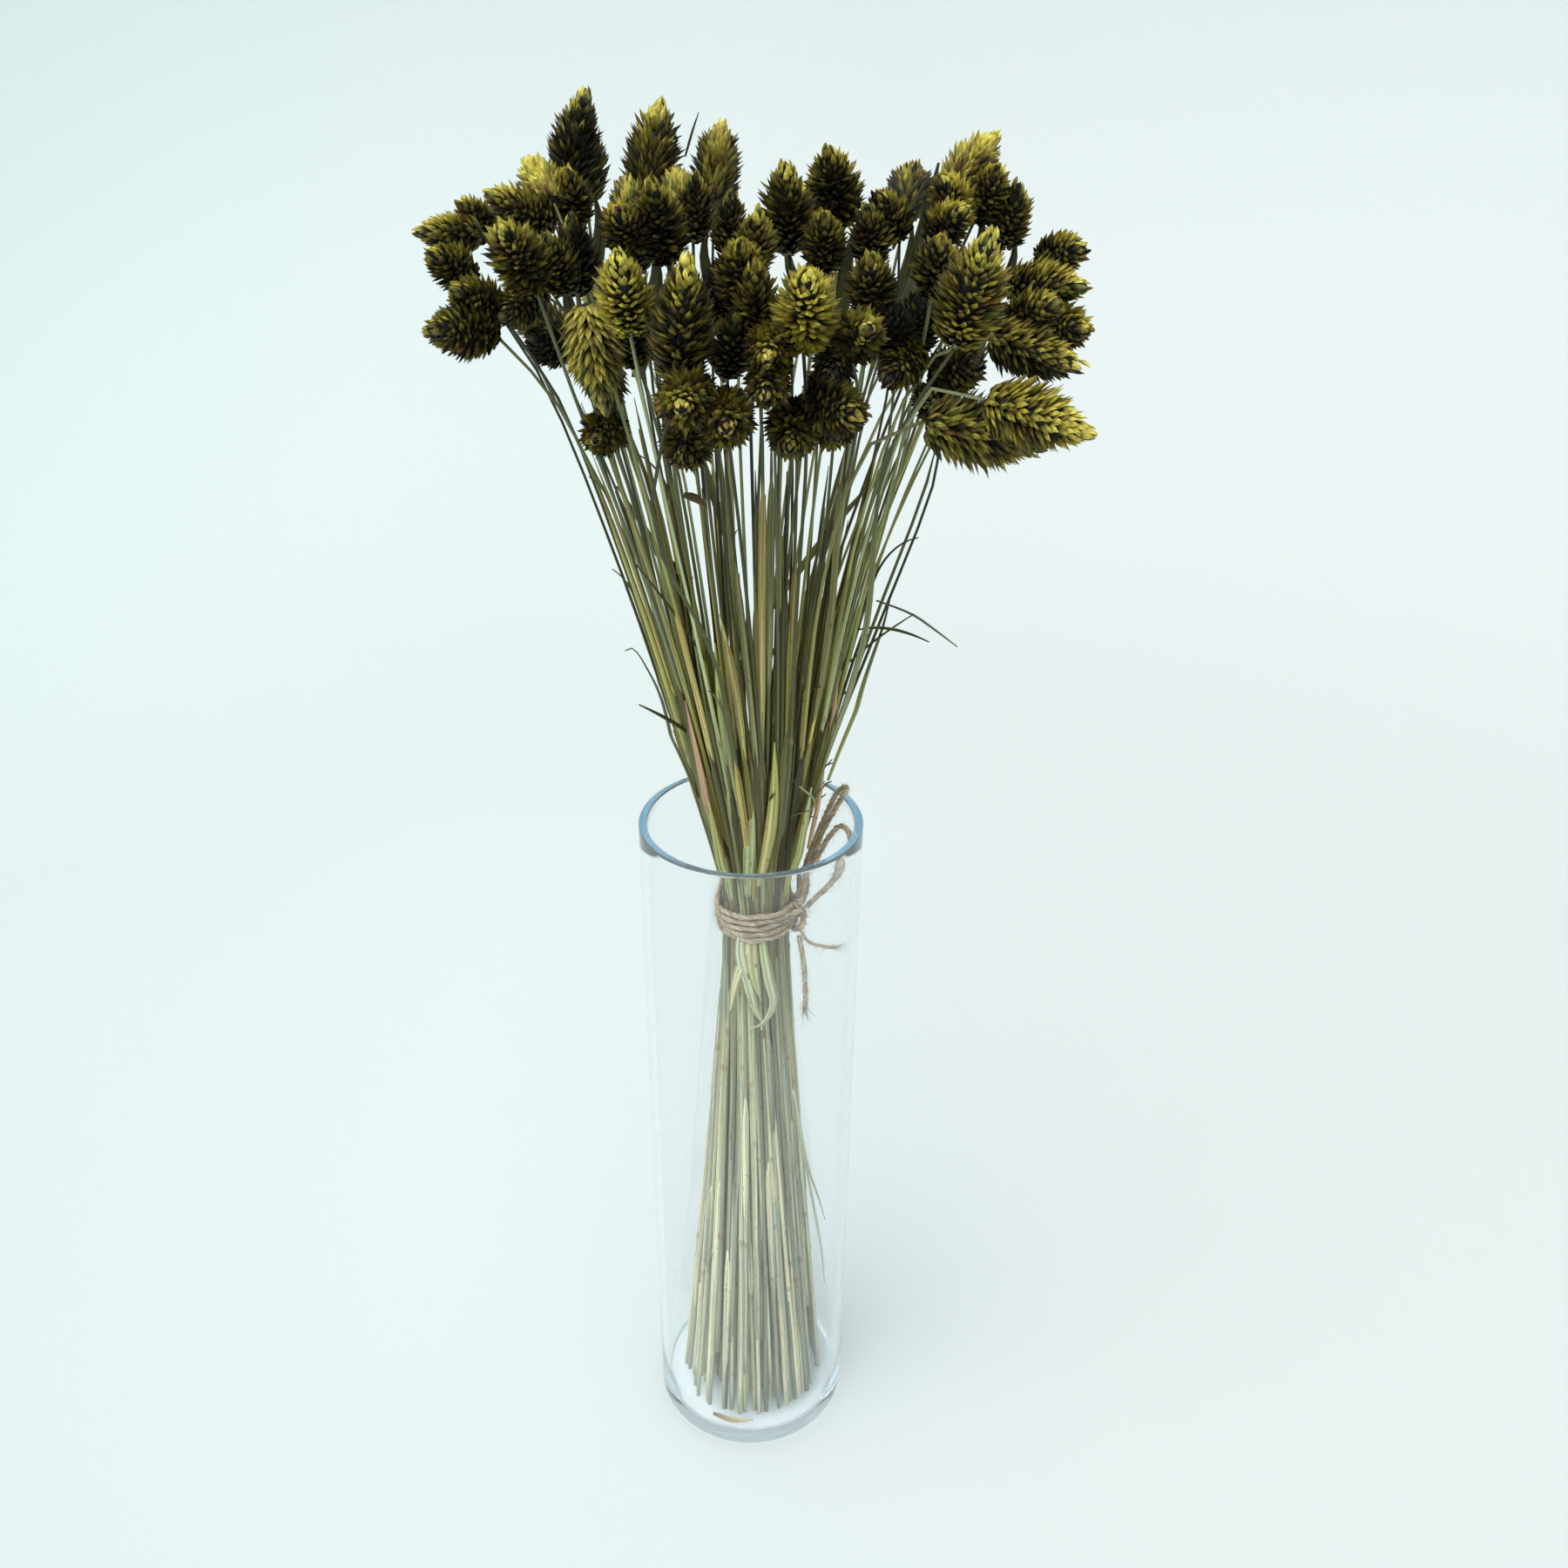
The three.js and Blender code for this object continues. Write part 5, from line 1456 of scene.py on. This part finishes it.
def loose_leaf(heap, points, half, out, low_paint, high_paint):
    """A leaf or scrap that lies on the sheaf: its first part leaves the stems, and the rest stands out."""
    line = smooth_line(points, 3)
    facing = unit(line[len(line) // 2] * (1, 1, 0) - (WAIST["x"], 0, 0))
    line = line + facing * out * np.clip(np.linspace(0, 2.5, len(line)), 0, 1)[:, None]
    leaf(heap, line, half, [LEAF_PAINT[low_paint], LEAF_PAINT[high_paint]], facing + (0, 0, 0.35))


def leaf_between_heads(heap, place):
    """A leaf painted dark as shade, which grows from the nearest stem and passes through a place in the crown.
    """
    low = place[2] - SHADE_LEAF["below"]
    start = (SHADE_LEAF["pull"] * place[0], SHADE_LEAF["pull"] * place[1], low)
    near = min(stem_lines.values(), key=lambda line: np.linalg.norm(line - start, axis=1).min())
    root = near[np.abs(near[:, 2] - low).argmin()]
    points = [root, (root + place) / 2 + (rng.uniform(-1, 1), 1, 0), place, place + (rng.uniform(-3, 3), 1, 11)]
    shades = [LEAF_PAINT["moss"] * shade for shade in SHADE_LEAF["shades"]]
    leaf(heap, smooth_line(points, 4), rng.uniform(*SHADE_LEAF["half"]), shades, (0, -1, 0.2))


# %% The leaves
leaves = Heap()
for row in LEAVES:
    parted_leaf(leaves, *row)
for row in LOOSE:
    loose_leaf(leaves, *row)
for place in np.array(BETWEEN_HEADS, float):
    leaf_between_heads(leaves, place)
leaves.piece("leaves_and_scraps", stalk, "stalk")

# %% [markdown]
# ## The vase
# The vase is round, so its wall is drawn once as a profile and spun: outside wall, flat lip with its two
# edges rounded off, inside wall, the fillet and the thick floor. One closed shell gives the glass a real
# thickness, which is what bends the light.

# %% A spun shell


def arc(middle, radius, first, last, count):
    turns = np.radians(np.linspace(first, last, count))
    return [(middle[0] + radius * math.cos(a), middle[1] + radius * math.sin(a)) for a in turns]


def spun(name, profile, material, steps):
    """A profile in the XZ plane spun round Z into one closed, smooth shell."""
    bm = bmesh.new()
    corners = [bm.verts.new((r * MM, 0, z * MM)) for r, z in profile]
    edges = [bm.edges.new(pair) for pair in zip(corners, corners[1:])]
    bmesh.ops.spin(bm, geom=corners + edges, axis=(0, 0, 1), cent=(0, 0, 0), angle=2 * math.pi,
                   steps=steps, use_merge=True)
    bmesh.ops.remove_doubles(bm, verts=bm.verts, dist=1e-6)
    bmesh.ops.recalc_face_normals(bm, faces=bm.faces)
    mesh = bpy.data.meshes.new(name)
    bm.to_mesh(mesh)
    bm.free()
    mesh.shade_smooth()
    mesh.materials.append(material)
    return mesh


# %% The vase
VASE = {
    "radius": 49.0, "height": 350.0, "wall": 3.7, "base": 9.5, "heel": 4.0, "fillet": 3.0, "lip": 0.8,
    "steps": 192, "rows": 18, "heel_rows": 9, "edge_rows": 7,
}
UNDERSIDE = [(0, 0), (20, 0), (38, 0)]
STRAIGHT = {"outside": (20, 340), "inside": (340, 30)}
outer, inner = VASE["radius"], VASE["radius"] - VASE["wall"]
lip, heel, fillet, edge_rows = VASE["lip"], VASE["heel"], VASE["fillet"], VASE["edge_rows"]
lip_z = VASE["height"] - lip
vase_profile = [
    *UNDERSIDE, *arc((outer - heel, heel), heel, -90, 0, VASE["heel_rows"]),
    *[(outer, z) for z in np.linspace(*STRAIGHT["outside"], VASE["rows"])],
    *arc((outer - lip, lip_z), lip, 0, 90, edge_rows),
    *arc((inner + lip, lip_z), lip, 90, 180, edge_rows),
    *[(inner, z) for z in np.linspace(*STRAIGHT["inside"], VASE["rows"])],
    *arc((inner - fillet, VASE["base"] + fillet), fillet, 0, -90, edge_rows),
    (30, VASE["base"]), (0, VASE["base"]),
]
placed("glass_vase", spun("glass_vase", vase_profile, glass, VASE["steps"]), "vase")

# %% [markdown]
# ## The room
# The photo was taken on a pale ground that runs up into a pale wall, in soft light from all round and more
# from above and in front. A large bowl gives the same: it has no corner that could show, and it lights the
# underside. Its left side is a little bluer, and the ground under the vase a little paler, as in the photo.

# %% The ground
ROOM = {"centre": 300.0, "flat": 1100.0, "rise": 1500.0, "top": 2200.0, "steps": 96, "below": 0.4}
PALER_NEAR = [(0.2, (0.8, 0.85, 0.845)), (0.8, (0.735, 0.781, 0.776))]
BLUER_LEFT = [(0.0, (1.03, 1.1, 1.1)), (1.0, (1.0, 1.0, 1.0))]
LEFT_TO_MIDDLE = {"From Min": -1.2, "From Max": 0.2}


def pale_ground():
    material, tree, shader = new_material("pale_ground")
    place = node(tree, "ShaderNodeTexCoord")
    far = node(tree, "ShaderNodeVectorMath", operation="LENGTH")
    link(tree, place, "Object", far, "Vector")
    paler = ramp(tree, far, "Value", PALER_NEAR)
    split = node(tree, "ShaderNodeSeparateXYZ")
    link(tree, place, "Object", split, "Vector")
    side = node(tree, "ShaderNodeMapRange", **LEFT_TO_MIDDLE)
    link(tree, split, "X", side, "Value")
    bluer = ramp(tree, side, "Result", BLUER_LEFT)
    colour = multiplied(tree, paler, "Color", bluer, "Color")
    link(tree, colour, MIX_RESULT, shader, "Base Color")
    set_sockets(shader, {"Roughness": 0.9, "Specular IOR Level": 0.1})
    return material


wall_at = ROOM["flat"] + ROOM["rise"]
curve = [(ROOM["flat"] + ROOM["rise"] * math.sin(a), ROOM["rise"] * (1 - math.cos(a)))
         for a in np.linspace(0, math.pi / 2, 24)]
bowl = [(0, 0), (ROOM["centre"], 0), *curve, (wall_at, ROOM["top"])]
ground_mesh = spun("pale_ground", bowl, pale_ground(), ROOM["steps"])
ground_mesh.flip_normals()
ground_mesh.transform(Matrix.Translation((0, 0, -ROOM["below"] * MM)))
ground = bpy.data.objects.new("pale_ground", ground_mesh)
bpy.context.scene.collection.objects.link(ground)
print("the bowl is", round(2 * wall_at * MM, 1), "m across")

# %% Light
SKY = {"Color": (0.96, 0.985, 0.985, 1), "Strength": 0.655}
SUN = {"energy": 1.62, "angle": 50, "turn": (22, -16, 0)}
BOUNCES = 80  # light that is caught in the thick glass takes this many to come out again

world = bpy.data.worlds.new("soft_sky")
world.use_nodes = True
set_sockets(world.node_tree.nodes["Background"], SKY)
bpy.context.scene.world = world
key = bpy.data.objects.new("key", bpy.data.lights.new("key", "SUN"))
key.data.energy = SUN["energy"]
key.data.angle = math.radians(SUN["angle"])
key.rotation_euler = [math.radians(turn) for turn in SUN["turn"]]
bpy.context.scene.collection.objects.link(key)
bpy.context.scene.view_settings.view_transform = "Standard"
for bounces in ("max_bounces", "transmission_bounces", "glossy_bounces", "transparent_max_bounces"):
    setattr(bpy.context.scene.cycles, bounces, BOUNCES)
print("sky:", SKY["Strength"], "sun:", SUN["energy"])
